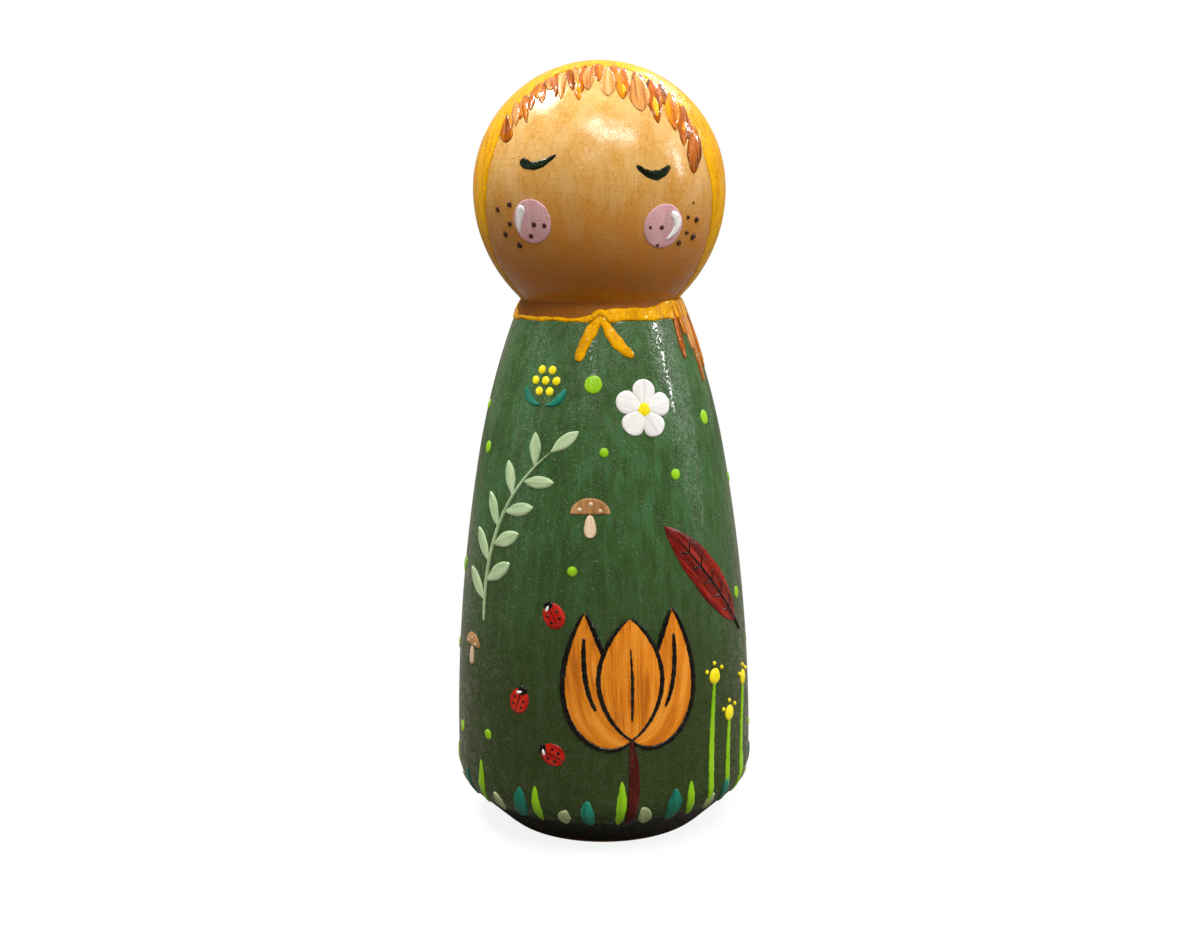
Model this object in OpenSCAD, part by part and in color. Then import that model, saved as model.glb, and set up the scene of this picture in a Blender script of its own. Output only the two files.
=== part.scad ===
// Painted peg doll: a turned wooden peg, its coats of paint and the raised dabs laid on them.
// Each coat and each group of dabs of one colour is a solid of its own, seated on what it was painted on.
// Millimetres. The doll stands on its foot on the plane z = 0, on the Z axis, and faces -Y, so that
// left is -X and right is +X. Azimuths turn from the front towards the right.

/* [Turned peg] */
// Height of the whole peg
doll_h = 90; // [82:1:98]
// Largest diameter of the body
body_d = 35.7; // [34:0.1:38]
// Diameter of the flat foot
foot_d = 24.4; // [22:0.1:27]
// Height of the bevel if its upper edge were sharp
bevel_h = 5.4; // [4.5:0.1:6.5]
// Radius that rounds the upper edge of the bevel
edge_round = 4.2; // [3.4:0.1:4.8]
// Height of the widest ring of the body
belly_z = 8; // [7:0.1:9]
// Diameter of the neck, where body and head would meet in a sharp corner
neck_d = 18.6; // [17:0.1:21]
// Radius of the groove between body and head
neck_round = 0.6; // [0.5:0.05:0.8]
// Diameter of the head
head_d = 29.3; // [28:0.1:31]
// Radius of the curve from the widest ring of the head down to the chin
chin_curve_r = 17; // [16:0.1:18.5]

/* [Coats of paint] */
// Thickness of a brushed coat
coat_t = 0.12; // [0.08:0.01:0.2]
// Height of a dab above what it was laid on
dab_t = 0.24; // [0.15:0.01:0.35]
// Further height of a line or highlight above a dab
line_t = 0.12; // [0.05:0.01:0.2]
// Bare wood left between the floor and the base coat
base_gap = 0.4; // [0.2:0.1:0.8]
// Height at which the dark base coat ends and the dress begins
base_coat_h = 4.1; // [3.6:0.1:4.8]

/* [Hood and neck band] */
// Azimuth that the face is turned to
face_turn = -2; // [-6:0.5:6]
// Width of the oval opening round the face
face_w = 25.6; // [23:0.1:26]
// Height of the oval opening round the face
face_h = 33; // [30:0.1:33.4]
// How far the middle of the opening lies below the widest ring of the head
face_drop = 2.9; // [2:0.1:3.5]
// Width of the neck band below the groove
band_w = 2; // [1.4:0.1:3]
// Thickness of the neck band
band_t = 0.3; // [0.2:0.02:0.4]
// Width of the knot
knot_w = 2.2; // [1.6:0.1:2.8]
// Height of the knot above the dress coat
knot_t = 0.7; // [0.5:0.05:1]
// Width of a tie end
tie_w = 1.05; // [0.7:0.05:1.4]
// Length of the left tie end
left_tie_l = 5.2; // [4:0.1:7]
// Length of the right tie end
right_tie_l = 5; // [4:0.1:7]

/* [Face] */
// Length of a closed eyelid
lid_l = 4.3; // [3:0.1:5]
// Thickness of the eyelid stroke
lid_w = 0.72; // [0.4:0.02:1]
// Azimuth of the left eyelid
left_lid_az = -29; // [-32:1:-26]
// Elevation of the left eyelid above the widest ring of the head
left_lid_el = 11; // [8:1:14]
// Azimuth of the right eyelid
right_lid_az = 24; // [21:1:27]
// Elevation of the right eyelid above the widest ring of the head
right_lid_el = 7.5; // [5:0.5:11]
// Diameter of a cheek
cheek_d = 4.9; // [4:0.1:5.2]
// Azimuth of the left cheek
left_cheek_az = -31.5; // [-34:0.5:-28]
// Elevation of the left cheek
left_cheek_el = -13.5; // [-16:0.5:-11]
// Azimuth of the right cheek
right_cheek_az = 29; // [27:0.5:32]
// Elevation of the right cheek
right_cheek_el = -16; // [-18:0.5:-13]
// Width of the highlight on a cheek
highlight_w = 0.95; // [0.5:0.05:1.1]
// Diameter of a large freckle
freckle_d = 0.72; // [0.3:0.02:0.8]

/* [Hair] */
// Length of a usual stroke of the fringe, seen from the front
fringe_l = 3; // [2.4:0.1:3.6]
// Width of a usual stroke of the fringe
fringe_w = 1; // [0.7:0.05:1.3]
// Length of the longest strand of the lock on the shoulder
lock_l = 9.6; // [7:0.1:11]
// Width of a strand of the lock
lock_w = 1.1; // [0.7:0.05:1.2]

/* [Pattern on the dress] */
// How many times the pattern goes round the dress
pattern_count = 2; // [1:1:2]
// Width of the tulip
tulip_w = 14.4; // [11:0.2:15]
// Height of the tulip's flower
tulip_h = 15; // [13:0.2:17]
// Thickness of the drawn lines
ink_w = 0.5; // [0.3:0.05:0.7]
// Width of the tulip's stem
stem_w = 1.3; // [0.8:0.1:1.8]
// Length of the feather
feather_l = 16.5; // [13:0.5:19]
// Width of the feather
feather_w = 4.4; // [3.6:0.1:5]
// Length of the sprig
sprig_l = 20; // [16:0.5:21]
// Length of a leaf of the sprig
sprig_leaf_l = 5; // [4:0.1:5.6]
// Diameter of the blossom
blossom_d = 6.6; // [5:0.1:8]
// Diameter of the wreath of yellow dots
dot_ring_d = 2.7; // [2.4:0.1:3.2]
// Diameter of one yellow dot
dot_d = 1; // [0.7:0.05:1.1]
// Width of a toadstool's cap
toadstool_w = 4.6; // [3.6:0.1:5.4]
// Length of a ladybird
ladybird_l = 3; // [2.4:0.1:3.4]
// Height of the tallest stem with round tufts
tuft_h = 17; // [13:0.5:19]
// Diameter of a round tuft
tuft_d = 1.9; // [1.2:0.1:2.4]
// Diameter of a large lime dot
lime_dot_d = 2.1; // [1.4:0.1:2.6]
// Height of the tallest blade in the border
blade_h = 5.6; // [4:0.1:7]
// Width of a blade in the border
blade_w = 1.05; // [0.7:0.05:1.3]
// Number of blades in the border
blade_count = 36; // [24:6:42]

/* [Hidden] */

$fn = 72;
// Overrun of cutting and clipping shapes
overrun = 1;

body_r = body_d / 2;
foot_r = foot_d / 2;
head_r = head_d / 2;
head_z = doll_h - head_r;

// The profile is a chain of tangent arcs. Their centres follow from the driving sizes.
function along(c, a, d) = c + d * [cos(a), sin(a)];
function heading(v) = atan2(v[1], v[0]);
// The right-hand meeting point of two circles
function meet(c1, r1, c2, r2) =
  let (d = c2 - c1, l = norm(d), a = (r1 * r1 - r2 * r2 + l * l) / (2 * l), h = sqrt(r1 * r1 - a * a))
  c1 + a * d / l + h * [d[1], -d[0]] / l;

chin_c = [head_r - chin_curve_r, head_z];
neck_r = neck_d / 2;
neck_x = neck_r - chin_c[0];
neck_p = [neck_r, head_z - sqrt(chin_curve_r * chin_curve_r - neck_x * neck_x)];

// The belly curve passes into the shoulder curve at these shares of the way from the neck out to
// the belly and of the way from the belly up to the neck
shoulder_share = [0.612, 0.673];
belly_p = [body_r, belly_z];
shoulder_p = [
  neck_r + shoulder_share[0] * (body_r - neck_r),
  belly_z + shoulder_share[1] * (neck_p[1] - belly_z)];

// Radius of the arc that leaves p square to the direction out and passes through q
function arc_r(p, out, q) = (q - p) * (q - p) / (2 * ((p - q) * out));
belly_curve_r = arc_r(belly_p, [1, 0], shoulder_p);
belly_c = belly_p - [belly_curve_r, 0];
shoulder_a = heading(shoulder_p - belly_c);
shoulder_curve_r = arc_r(shoulder_p, [cos(shoulder_a), sin(shoulder_a)], neck_p);
shoulder_c = along(shoulder_p, shoulder_a, -shoulder_curve_r);

// Centre of the groove's round for paint t thick: past the groove's radius it is a sharp corner
function groove_r(t) = max(neck_round - t, 0);
function groove_c(t) =
  meet(shoulder_c, shoulder_curve_r + t + groove_r(t), chin_c, chin_curve_r + t + groove_r(t));
waist_z = groove_c(0)[1];

bevel_a = atan2(bevel_h, body_r - foot_r);
bevel_dir = [cos(bevel_a), sin(bevel_a)];
bevel_out = [sin(bevel_a), -cos(bevel_a)];
edge_base = [foot_r, 0] - edge_round * bevel_out - belly_c;
edge_back = edge_base * bevel_dir;
edge_reach = belly_curve_r - edge_round;
edge_run = sqrt(edge_back * edge_back - edge_base * edge_base + edge_reach * edge_reach) - edge_back;
edge_c = belly_c + edge_base + edge_run * bevel_dir;

function arc(c, r, a, b, step) =
  let (n = max(1, ceil(abs(b - a) / step))) [for (i = [0 : n]) along(c, a + (b - a) * i / n, r)];

// Outline of the peg from the foot to the crown, drawn t outside the wood
function outline(t) =
  let (
    edge_a = heading(edge_c - belly_c),
    neck_c = groove_c(t),
    low_a = heading(neck_c - shoulder_c),
    high_a = heading(neck_c - chin_c)
  )
  concat(
    [[0, 0], [foot_r + t / sin(bevel_a), 0]],
    arc(edge_c, edge_round + t, bevel_a - 90, edge_a, 10),
    arc(belly_c, belly_curve_r + t, edge_a, shoulder_a, 1),
    arc(shoulder_c, shoulder_curve_r + t, shoulder_a, low_a, 2),
    groove_r(t) > 0 ? arc(neck_c, groove_r(t), low_a + 180, high_a + 180, 15) : [],
    arc(chin_c, chin_curve_r + t, high_a, 0, 4),
    arc([0, head_z], head_r + t, 0, 90, 4));

// The peg grown by t on every side
module grown(t) {
  rotate_extrude() polygon(outline(t));
}

// A ring of paint between t0 and t1 outside the wood, from height z0 to height z1
module film(t0, t1, z0, z1) {
  rotate_extrude() intersection() {
    difference() {
      polygon(outline(t1));
      polygon(outline(t0));
    }
    translate([0, z0]) square([body_d, z1 - z0]);
  }
}

// A brush stroke along the curve p, w wide at the share fat of its length. A blunt of 1 gives
// pointed ends and a blunt of 0.5 round ones.
function bend(p, s) = (1 - s) * (1 - s) * p[0] + 2 * s * (1 - s) * p[1] + s * s * p[2];
function bend_side(p, s) =
  let (d = (1 - s) * (p[1] - p[0]) + s * (p[2] - p[1])) [d[1], -d[0]] / norm(d);
function stroke(p, w, fat, blunt) =
  let (
    n = 8,
    k = ln(0.5) / ln(fat),
    at = [for (i = [0 : n]) (1 - cos(180 * i / n)) / 2],
    half = [for (s = at) w / 2 * pow(sin(180 * pow(s, k)), blunt)]
  )
  concat(
    [for (i = [0 : n]) bend(p, at[i]) + half[i] * bend_side(p, at[i])],
    [for (i = [n - 1 : -1 : 1]) bend(p, at[i]) - half[i] * bend_side(p, at[i])]);

// A straight stroke from the origin in the direction a, l long
function straight(a, l) = [[0, 0], along([0, 0], a, l / 2), along([0, 0], a, l)];

module brushed(p, w, fat = 0.5, blunt = 0.5) {
  polygon(stroke(p, w, fat, blunt));
}

// Carries a flat drawing out to the dress at azimuth az and height z
module on_dress(az, z) {
  rotate([0, 0, az]) translate([0, 0, z]) rotate([90, 0, 0]) linear_extrude(body_r + overrun) children();
}

// Carries a flat drawing out to the head at azimuth az and elevation el
module on_head(az, el) {
  translate([0, 0, head_z]) rotate([0, 0, az]) rotate([90 - el, 0, 0])
    linear_extrude(head_r + overrun) children();
}

// Carries a flat drawing straight forward, through the middle of the face opening
module from_front() {
  translate([0, 0, head_z - face_drop]) rotate([90, 0, face_turn]) linear_extrude(head_r + overrun)
    children();
}

// The wood: head, neck, body, rounded edge, bevel and foot are one turning
module turned_peg() {
  color("burlywood") grown(0);
}

module base_coat() {
  color("#15160f") film(0, coat_t, base_gap, base_coat_h);
}

// The dress runs from the base coat up to the neck band
band_z = waist_z - band_w;
function dress_z(share) = base_coat_h + share * (band_z - base_coat_h);

module dress_coat() {
  color("#2f5033") film(0, coat_t, base_coat_h, band_z);
}

// A point on the oval edge of the hood, a degrees clockwise from its top
function face_edge(a) = [face_w / 2 * sin(a), face_h / 2 * cos(a)];

module hood_coat() {
  color("#e3a50a") difference() {
    film(0, coat_t, waist_z, doll_h + overrun);
    from_front() {
      polygon([for (a = [0 : 5 : 355]) face_edge(a)]);
      fringe_strokes(brown_stroke_shares);
      fringe_strokes(tan_stroke_shares);
      fringe_strokes(orange_stroke_shares);
    }
  }
}

module neck_band() {
  color("#e0a008") film(0, band_t, band_z, waist_z);
}

// The knot is a thick bowed stroke over the band's lower edge, and the tie ends come out from under it
knot_shares = [[-0.42, -0.1], [0.06, 0.42], [0.42, -0.12]];

module knot_stroke() {
  translate([0, band_w / 4]) brushed(knot_w * knot_shares, knot_w * 0.55, 0.5, 0.4);
}

module neck_knot() {
  color("#e3a50a") difference() {
    intersection() {
      film(coat_t, coat_t + knot_t, band_z - knot_w, waist_z);
      on_dress(0, band_z) knot_stroke();
    }
    film(0, band_t, band_z, waist_z);
  }
}

// Start, swing and tip of a tie end, as shares of its length
left_tie_shares = [[0, 0], [-0.29, -0.29], [-0.5, -0.83]];
right_tie_shares = [[0.05, 0], [0.22, -0.46], [0.72, -0.78]];

module tie_end(l, shares) {
  color("#e3a50a") intersection() {
    film(coat_t, coat_t + dab_t, band_z - l, band_z);
    on_dress(0, band_z) difference() {
      brushed(l * shares, tie_w, 0.55, 0.3);
      knot_stroke();
    }
  }
}

module left_tie_end() {
  tie_end(left_tie_l, left_tie_shares);
}

module right_tie_end() {
  tie_end(right_tie_l, right_tie_shares);
}

// What is painted straight on the wood of the head
module on_face(extra = 0) {
  intersection() {
    film(0, dab_t + extra, waist_z, doll_h + overrun);
    children();
  }
}

// Start, sag and end of an eyelid, as shares of its length
left_lid_shares = [[-0.5, 0.2], [-0.03, -0.31], [0.48, 0.17]];
right_lid_shares = [[-0.48, 0.15], [0.01, -0.41], [0.44, 0.15]];

module left_eyelid() {
  color("#1c2a18") on_face() on_head(left_lid_az, left_lid_el)
    brushed(lid_l * left_lid_shares, lid_w, 0.35, 0.4);
}

module right_eyelid() {
  color("#1c2a18") on_face() on_head(right_lid_az, right_lid_el)
    brushed(lid_l * right_lid_shares, lid_w, 0.55, 0.35);
}

// Highlights and freckles are placed in shares of the cheek's radius, from its middle
cheek_r = cheek_d / 2;
left_highlight_shares = [[-0.5, 0.62], [-0.82, 0.3], [-0.84, -0.45]];
right_highlight_shares = [[0.3, 0.62], [1.15, 0.12], [0.2, -0.6]];
// Each freckle: across, up, and its diameter as a share of a large one
left_freckle_shares = [
  [-1.99, 0.48, 0.85], [-1.16, 0.75, 0.95], [-1.27, -0.13, 0.85], [-1.68, -0.64, 0.95],
  [-0.9, -1.11, 1], [0.14, -0.13, 0.95], [0.66, -0.18, 0.85], [-0.11, -0.65, 0.9]];
right_freckle_shares = [
  [-0.69, -0.04, 0.62], [-0.13, -0.04, 0.85], [-0.2, -0.86, 0.62], [1.58, 0.98, 0.4],
  [1.32, 0.36, 0.62], [1.89, 0.2, 0.9], [1.37, -0.34, 0.7], [0.98, -0.8, 0.9], [1.83, -0.59, 1.05]];

module freckle_dots(shares) {
  for (f = shares) translate([f[0] * cheek_r, f[1] * cheek_r]) circle(d = f[2] * freckle_d);
}

module highlight(shares, fat) {
  brushed(cheek_r * shares, highlight_w, fat, 0.5);
}

module left_cheek() {
  color("#c9a0a5") on_face() on_head(left_cheek_az, left_cheek_el) difference() {
    circle(d = cheek_d);
    freckle_dots(left_freckle_shares);
    highlight(left_highlight_shares, 0.25);
  }
}

module right_cheek() {
  color("#c9a0a5") on_face() on_head(right_cheek_az, right_cheek_el) difference() {
    circle(d = cheek_d);
    freckle_dots(right_freckle_shares);
    highlight(right_highlight_shares, 0.32);
  }
}

module left_cheek_highlight() {
  color("#eeeeea") on_face(line_t) on_head(left_cheek_az, left_cheek_el)
    highlight(left_highlight_shares, 0.25);
}

module right_cheek_highlight() {
  color("#eeeeea") on_face(line_t) on_head(right_cheek_az, right_cheek_el)
    highlight(right_highlight_shares, 0.32);
}

module left_freckles() {
  color("#4a2412") on_face(line_t) on_head(left_cheek_az, left_cheek_el) freckle_dots(left_freckle_shares);
}

module right_freckles() {
  color("#4a2412") on_face(line_t) on_head(right_cheek_az, right_cheek_el) freckle_dots(right_freckle_shares);
}

// Strokes of the fringe. Each row: clock angle of its root on the hood's edge, how far the root lies
// outside the edge, length, width (the last three as shares), lean to the right, fattest share.
brown_stroke_shares = [
  [-52, 0.6, 1, 1.2, 0, 0.74], [-40, 0.3, 0.9, 0.6, 8, 0.5], [-33.5, 0.13, 0.8, 0.6, -6, 0.5],
  [-29, 0.07, 0.75, 0.85, -14, 0.4], [-25, 0.1, 0.5, 0.9, 2, 0.5], [-21, 0.1, 0.95, 0.6, 2, 0.35],
  [-14, 0, 0.65, 0.7, 10, 0.4], [-8, -0.1, 0.7, 0.6, 2, 0.7], [-2, 0.05, 0.75, 0.5, -15, 0.5],
  [0.5, 0.1, 0.7, 0.9, 0, 0.35], [9.2, 0.05, 0.55, 0.55, 0, 0.4], [12.6, 0.05, 1.15, 1.1, 0, 0.55],
  [27.5, 0.1, 1.55, 1.15, 8, 0.45], [32, 0.2, 0.9, 0.95, 18, 0.5], [47.5, 0.3, 1.4, 1, 0, 0.42],
  [57.5, 0.3, 1.6, 1.25, -3, 0.55]];
tan_stroke_shares = [
  [-45.5, 0.4, 0.75, 0.75, 3, 0.5], [-18, 0, 0.95, 0.85, 0, 0.35], [-5, 0, 0.75, 1, 2, 0.6],
  [5.2, 0, 1.1, 1.35, 0, 0.6], [19.5, 0.05, 1.4, 1.75, 7, 0.6]];
orange_stroke_shares = [
  [-10.8, 0.03, 1, 0.55, 6, 0.75], [38.5, 0.2, 1.35, 1.15, 7, 0.45], [12.6, -0.65, 0.35, 0.6, 0, 0.5],
  [28.7, -0.5, 0.75, 0.6, 9, 0.55], [47.3, -0.35, 0.4, 0.45, 0, 0.5]];

module fringe_strokes(shares) {
  for (f = shares) {
    root = face_edge(f[0]) + [0, f[1] * fringe_l];
    translate(root) brushed(straight(f[4] - 90, f[2] * fringe_l), f[3] * fringe_w, f[5], 0.8);
  }
}

module fringe_brown() {
  color("#9a5218") on_face() from_front() difference() {
    fringe_strokes(brown_stroke_shares);
    fringe_strokes(tan_stroke_shares);
    fringe_strokes(orange_stroke_shares);
  }
}

module fringe_tan() {
  color("#d09a62") on_face() from_front() difference() {
    fringe_strokes(tan_stroke_shares);
    fringe_strokes(orange_stroke_shares);
  }
}

module fringe_orange() {
  color("#e0801a") on_face(line_t) from_front() fringe_strokes(orange_stroke_shares);
}

// Strands of the lock that falls over the shoulder at +X. Each row: azimuth of the root,
// length and width as shares, lean.
brown_strand_shares = [
  [57.5, 0.69, 0.95, -5], [63.5, 0.42, 0.8, -3], [84.5, 0.85, 1, -6], [98, 0.62, 0.9, -8]];
tan_strand_shares = [[69, 0.6, 0.8, -4], [75, 1, 1, -6], [91.5, 0.78, 0.9, -7]];

module strands(shares) {
  for (s = shares) on_dress(s[0], waist_z)
    brushed(straight(s[3] - 90, s[1] * lock_l), s[2] * lock_w, 0.55, 0.4);
}

module hair_lock(shares) {
  difference() {
    intersection() {
      film(coat_t, coat_t + dab_t + line_t, waist_z - lock_l - overrun, waist_z);
      strands(shares);
    }
    film(0, band_t, band_z, waist_z);
  }
}

module hair_lock_brown() {
  color("#9a5218") difference() {
    hair_lock(brown_strand_shares);
    strands(tan_strand_shares);
  }
}

module hair_lock_tan() {
  color("#c98f5a") hair_lock(tan_strand_shares);
}

// What is painted on the dress coat, repeated evenly round the dress
module on_coat(extra = 0) {
  intersection() {
    film(coat_t, coat_t + dab_t + extra, base_coat_h, band_z);
    for (i = [1 : pattern_count]) rotate([0, 0, i * 360 / pattern_count]) children();
  }
}

// A figure's place: azimuth, and its height on the dress as a share
module at_share(place) {
  on_dress(place[0], dress_z(place[1])) children();
}

// Tulip: three petals with a drawn outline and veins, on a bowed stem
tulip_place_share = [10, 0.18];
side_petal_shares = [[0.02, 0], [0.4, 0.06], [0.34, 0.98]];
front_petal_shares = [[0, 0.02], [0, 0.45], [0, 0.93]];
vein_shares = [[0, 0.14], [0.02, 0.4], [0, 0.72]];
side_vein_shares = [[0.27, 0.24], [0.38, 0.42], [0.35, 0.8]];
function sized(shares, w, h) = [for (s = shares) [s[0] * w, s[1] * h]];

module side_petal(side) {
  brushed(sized(side_petal_shares, side * tulip_w, tulip_h), tulip_w * 0.42, 0.5, 0.75);
}

module front_petal() {
  brushed(sized(front_petal_shares, tulip_w, tulip_h), tulip_w * 0.5, 0.5, 0.7);
}

module edge_line() {
  difference() {
    offset(r = ink_w / 2, $fn = 16) children();
    offset(r = -ink_w / 2, $fn = 16) children();
  }
}

module tulip_ink() {
  difference() {
    union() {
      edge_line() side_petal(-1);
      edge_line() side_petal(1);
    }
    front_petal();
  }
  edge_line() front_petal();
  brushed(sized(vein_shares, tulip_w, tulip_h), ink_w, 0.5, 0.6);
  for (side = [-1, 1]) difference() {
    brushed(sized(side_vein_shares, side * tulip_w, tulip_h), ink_w, 0.5, 0.6);
    front_petal();
  }
}

module tulip_petals() {
  color("#d0761b") on_coat() at_share(tulip_place_share) difference() {
    union() {
      side_petal(-1);
      side_petal(1);
      front_petal();
    }
    tulip_ink();
  }
}

module tulip_lines() {
  color("#1a120a") on_coat(line_t) at_share(tulip_place_share) tulip_ink();
}

module tulip_stem_stroke() {
  foot = dress_z(0) - dress_z(tulip_place_share[1]);
  at_share(tulip_place_share) difference() {
    brushed([[-stem_w / 4, foot], [stem_w / 2, foot / 2], [0, 0]], stem_w, 0.4, 0.3);
    tulip_ink();
    front_petal();
    side_petal(-1);
    side_petal(1);
  }
}

module tulip_stem() {
  color("#4a150f") on_coat() tulip_stem_stroke();
}

// Feather: a dark red vane with a drawn shaft and barbs
feather_place_share = [46, 0.49];
feather_lean = 40;
barb_count = 5;

module feather_ink() {
  translate([0, -feather_l * 0.62]) brushed(straight(90, feather_l * 1.05), ink_w, 0.4, 0.4);
  for (i = [0 : barb_count - 1], side = [-1, 1])
    translate([0, feather_l * (i * 0.15 - 0.36)])
      brushed(straight(90 - side * 48, feather_w * (0.4 - i * 0.02)), ink_w * 0.7, 0.4, 0.5);
}

module feather_outline() {
  translate([0, -feather_l / 2]) brushed(straight(90, feather_l), feather_w, 0.46, 0.7);
}

module feather_vane() {
  color("#5c1512") on_coat() at_share(feather_place_share) rotate(feather_lean) difference() {
    feather_outline();
    feather_ink();
  }
}

module feather_shaft() {
  color("#120b08") on_coat(line_t) at_share(feather_place_share) rotate(feather_lean) feather_ink();
}

// Sprig: a bowed stem with leaves in turn on either side and one at its tip
sprig_place_share = [-40, 0.57];
sprig_bow_shares = [[-0.2, -0.5], [-0.24, 0.1], [0.2, 0.5]];
sprig_leaf_count = 9;

module sprig_stroke() {
  brushed(sprig_l * sprig_bow_shares, ink_w, 0.4, 0.3);
}

module sprig_leaf(p, a, l) {
  translate(p) brushed(straight(a, l), l * 0.38, 0.56, 0.75);
}

module sprig_leaves() {
  bow = sprig_l * sprig_bow_shares;
  color("#a9c39a") on_coat() at_share(sprig_place_share) difference() {
    for (i = [0 : sprig_leaf_count]) {
      s = 0.1 + i * 0.9 / sprig_leaf_count;
      side = bend_side(bow, s);
      turn = i == sprig_leaf_count ? 0 : (i % 2 == 0 ? 50 : -50);
      sprig_leaf(bend(bow, s), heading(side) + 90 + turn, sprig_leaf_l * (1 - 0.25 * s));
    }
    sprig_stroke();
  }
}

module sprig_stem() {
  color("#94b087") on_coat(line_t) at_share(sprig_place_share) sprig_stroke();
}

// Blossom: five round petals about a yellow middle
blossom_place_share = [21, 0.83];
petal_count = 5;

module blossom_middle() {
  circle(d = blossom_d * 0.27);
}

module blossom_petals() {
  color("#e9e9e2") on_coat() at_share(blossom_place_share) difference() {
    for (i = [1 : petal_count])
      brushed(straight(i * 360 / petal_count + 12, blossom_d / 2), blossom_d * 0.4, 0.66, 0.5);
    blossom_middle();
  }
}

module blossom_centre() {
  color("#d8c21a") on_coat(line_t) at_share(blossom_place_share) blossom_middle();
}

// Dot flower: a wreath of dots round one dot, over two comma-shaped leaves
dot_flower_place_share = [-30, 0.885];
comma_shares = [[0.1, -0.8], [0.75, -0.8], [0.95, -0.1]];

module dot_flower() {
  color("#dccb1c") on_coat() at_share(dot_flower_place_share) {
    circle(d = dot_d);
    for (i = [1 : 6]) rotate(i * 60) translate([dot_ring_d / 2, 0]) circle(d = dot_d);
  }
}

module dot_flower_leaves() {
  color("#1d7f6c") on_coat() at_share(dot_flower_place_share)
    for (side = [-1, 1]) translate([0, -dot_d / 2])
      brushed(sized(comma_shares, side * dot_ring_d, dot_ring_d), dot_d, 0.6, 0.6);
}

// Toadstools: a cap with pale spots on a pale stalk. Each row: azimuth, height, size share.
toadstool_shares = [[-5, 0.63, 1], [-62, 0.33, 0.85]];
spot_shares = [[-0.25, 0.13], [0.02, 0.26], [0.24, 0.1]];

module toadstool_marks(w) {
  for (s = spot_shares) translate(w * s) circle(d = w * 0.13);
  brushed(straight(-90, w * 0.55), w * 0.3, 0.6, 0.3);
}

module toadstool_caps() {
  color("#b9895a") on_coat() for (t = toadstool_shares) {
    w = t[2] * toadstool_w;
    at_share(t) difference() {
      polygon([for (a = [0 : 12 : 180]) [w / 2 * cos(a), w * 0.42 * sin(a)]]);
      toadstool_marks(w);
    }
  }
}

module toadstool_stalks() {
  color("#dcbf9c") on_coat(line_t) for (t = toadstool_shares) at_share(t) toadstool_marks(t[2] * toadstool_w);
}

// Ladybirds. Each row: azimuth, height, heading.
ladybird_shares = [[-19, 0.43, 30], [-33, 0.25, -20], [-19, 0.15, 65]];
wing_dot_shares = [[-0.2, 0.1], [0.2, 0.1], [-0.18, -0.17], [0.18, -0.17]];

module ladybird_shine() {
  translate(ladybird_l * [-0.2, 0.27]) brushed(straight(35, ladybird_l * 0.28), ladybird_l * 0.16, 0.5, 0.5);
}

module ladybird_ink() {
  difference() {
    translate([0, ladybird_l * 0.42]) circle(d = ladybird_l * 0.42);
    ladybird_oval();
  }
  translate([0, -ladybird_l / 2]) brushed(straight(90, ladybird_l), ladybird_l * 0.09, 0.5, 0.3);
  for (s = wing_dot_shares) translate(ladybird_l * s) circle(d = ladybird_l * 0.17);
}

module ladybird_oval() {
  polygon([for (a = [0 : 15 : 345]) ladybird_l / 2 * [0.86 * cos(a), sin(a)]]);
}

module each_ladybird() {
  for (b = ladybird_shares) at_share(b) rotate(b[2]) children();
}

module ladybird_wings() {
  color("#9c1b0e") on_coat() each_ladybird() difference() {
    ladybird_oval();
    ladybird_ink();
    ladybird_shine();
  }
}

module ladybird_marks() {
  color("#160d0a") on_coat(line_t) each_ladybird() difference() {
    ladybird_ink();
    ladybird_shine();
  }
}

module ladybird_highlights() {
  color("#eeeeea") on_coat(line_t) each_ladybird() ladybird_shine();
}

// Stems with round tufts. Each row: azimuth, height share, bow share.
tuft_shares = [[44, 0.94, 0.05], [54, 0.64, 0.03], [66, 0.82, 0.07]];

module tuft_place(t) {
  on_dress(t[0], dress_z(0)) children();
}

function tuft_tip(t) = [t[2] * tuft_h, t[1] * tuft_h];

module tuft_stem_strokes() {
  for (t = tuft_shares) tuft_place(t) difference() {
    brushed([[0, 0], [-t[2], t[1]] * tuft_h / 2, tuft_tip(t)], stem_w * 0.7, 0.3, 0.35);
    translate(tuft_tip(t)) circle(d = tuft_d);
  }
}

module tuft_dots() {
  for (t = tuft_shares) tuft_place(t) translate(tuft_tip(t)) {
    circle(d = tuft_d);
    for (a = [30 : 60 : 150]) rotate(a) translate([tuft_d * 0.8, 0]) circle(d = tuft_d * 0.3);
  }
}

module tuft_stems() {
  color("#6f9a1c") on_coat() difference() {
    tuft_stem_strokes();
    tuft_dots();
  }
}

module round_tufts() {
  color("#dccb1c") on_coat(line_t) tuft_dots();
}

// Dots between the figures. Each row: azimuth, height, diameter share.
dot_place_shares = [
  [-4, 0.88, 0.95], [-12, 0.52, 0.55], [1, 0.75, 0.5], [60, 0.8, 0.8], [34, 0.7, 0.6],
  [-66, 0.74, 0.7], [-49, 0.16, 0.6], [69, 0.43, 0.7], [84, 0.66, 0.6], [-80, 0.82, 0.6],
  [92, 0.3, 0.8], [-82, 0.48, 0.9], [80, 0.13, 0.5], [-72, 0.14, 0.7]];

module lime_dots() {
  color("#79b51f") on_coat() for (d = dot_place_shares) at_share(d) circle(d = d[2] * lime_dot_d);
}

// Border of blades along the foot of the dress, in a turn of six. Each row: height, width, lean, bow.
blade_shares = [
  [1, 0.75, 4, 0.06], [0.42, 1, -10, 0.1], [0.72, 1.15, 8, 0.1],
  [0.8, 0.7, -5, -0.06], [0.36, 0.95, 9, -0.1], [0.6, 1.05, -6, -0.1]];

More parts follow.
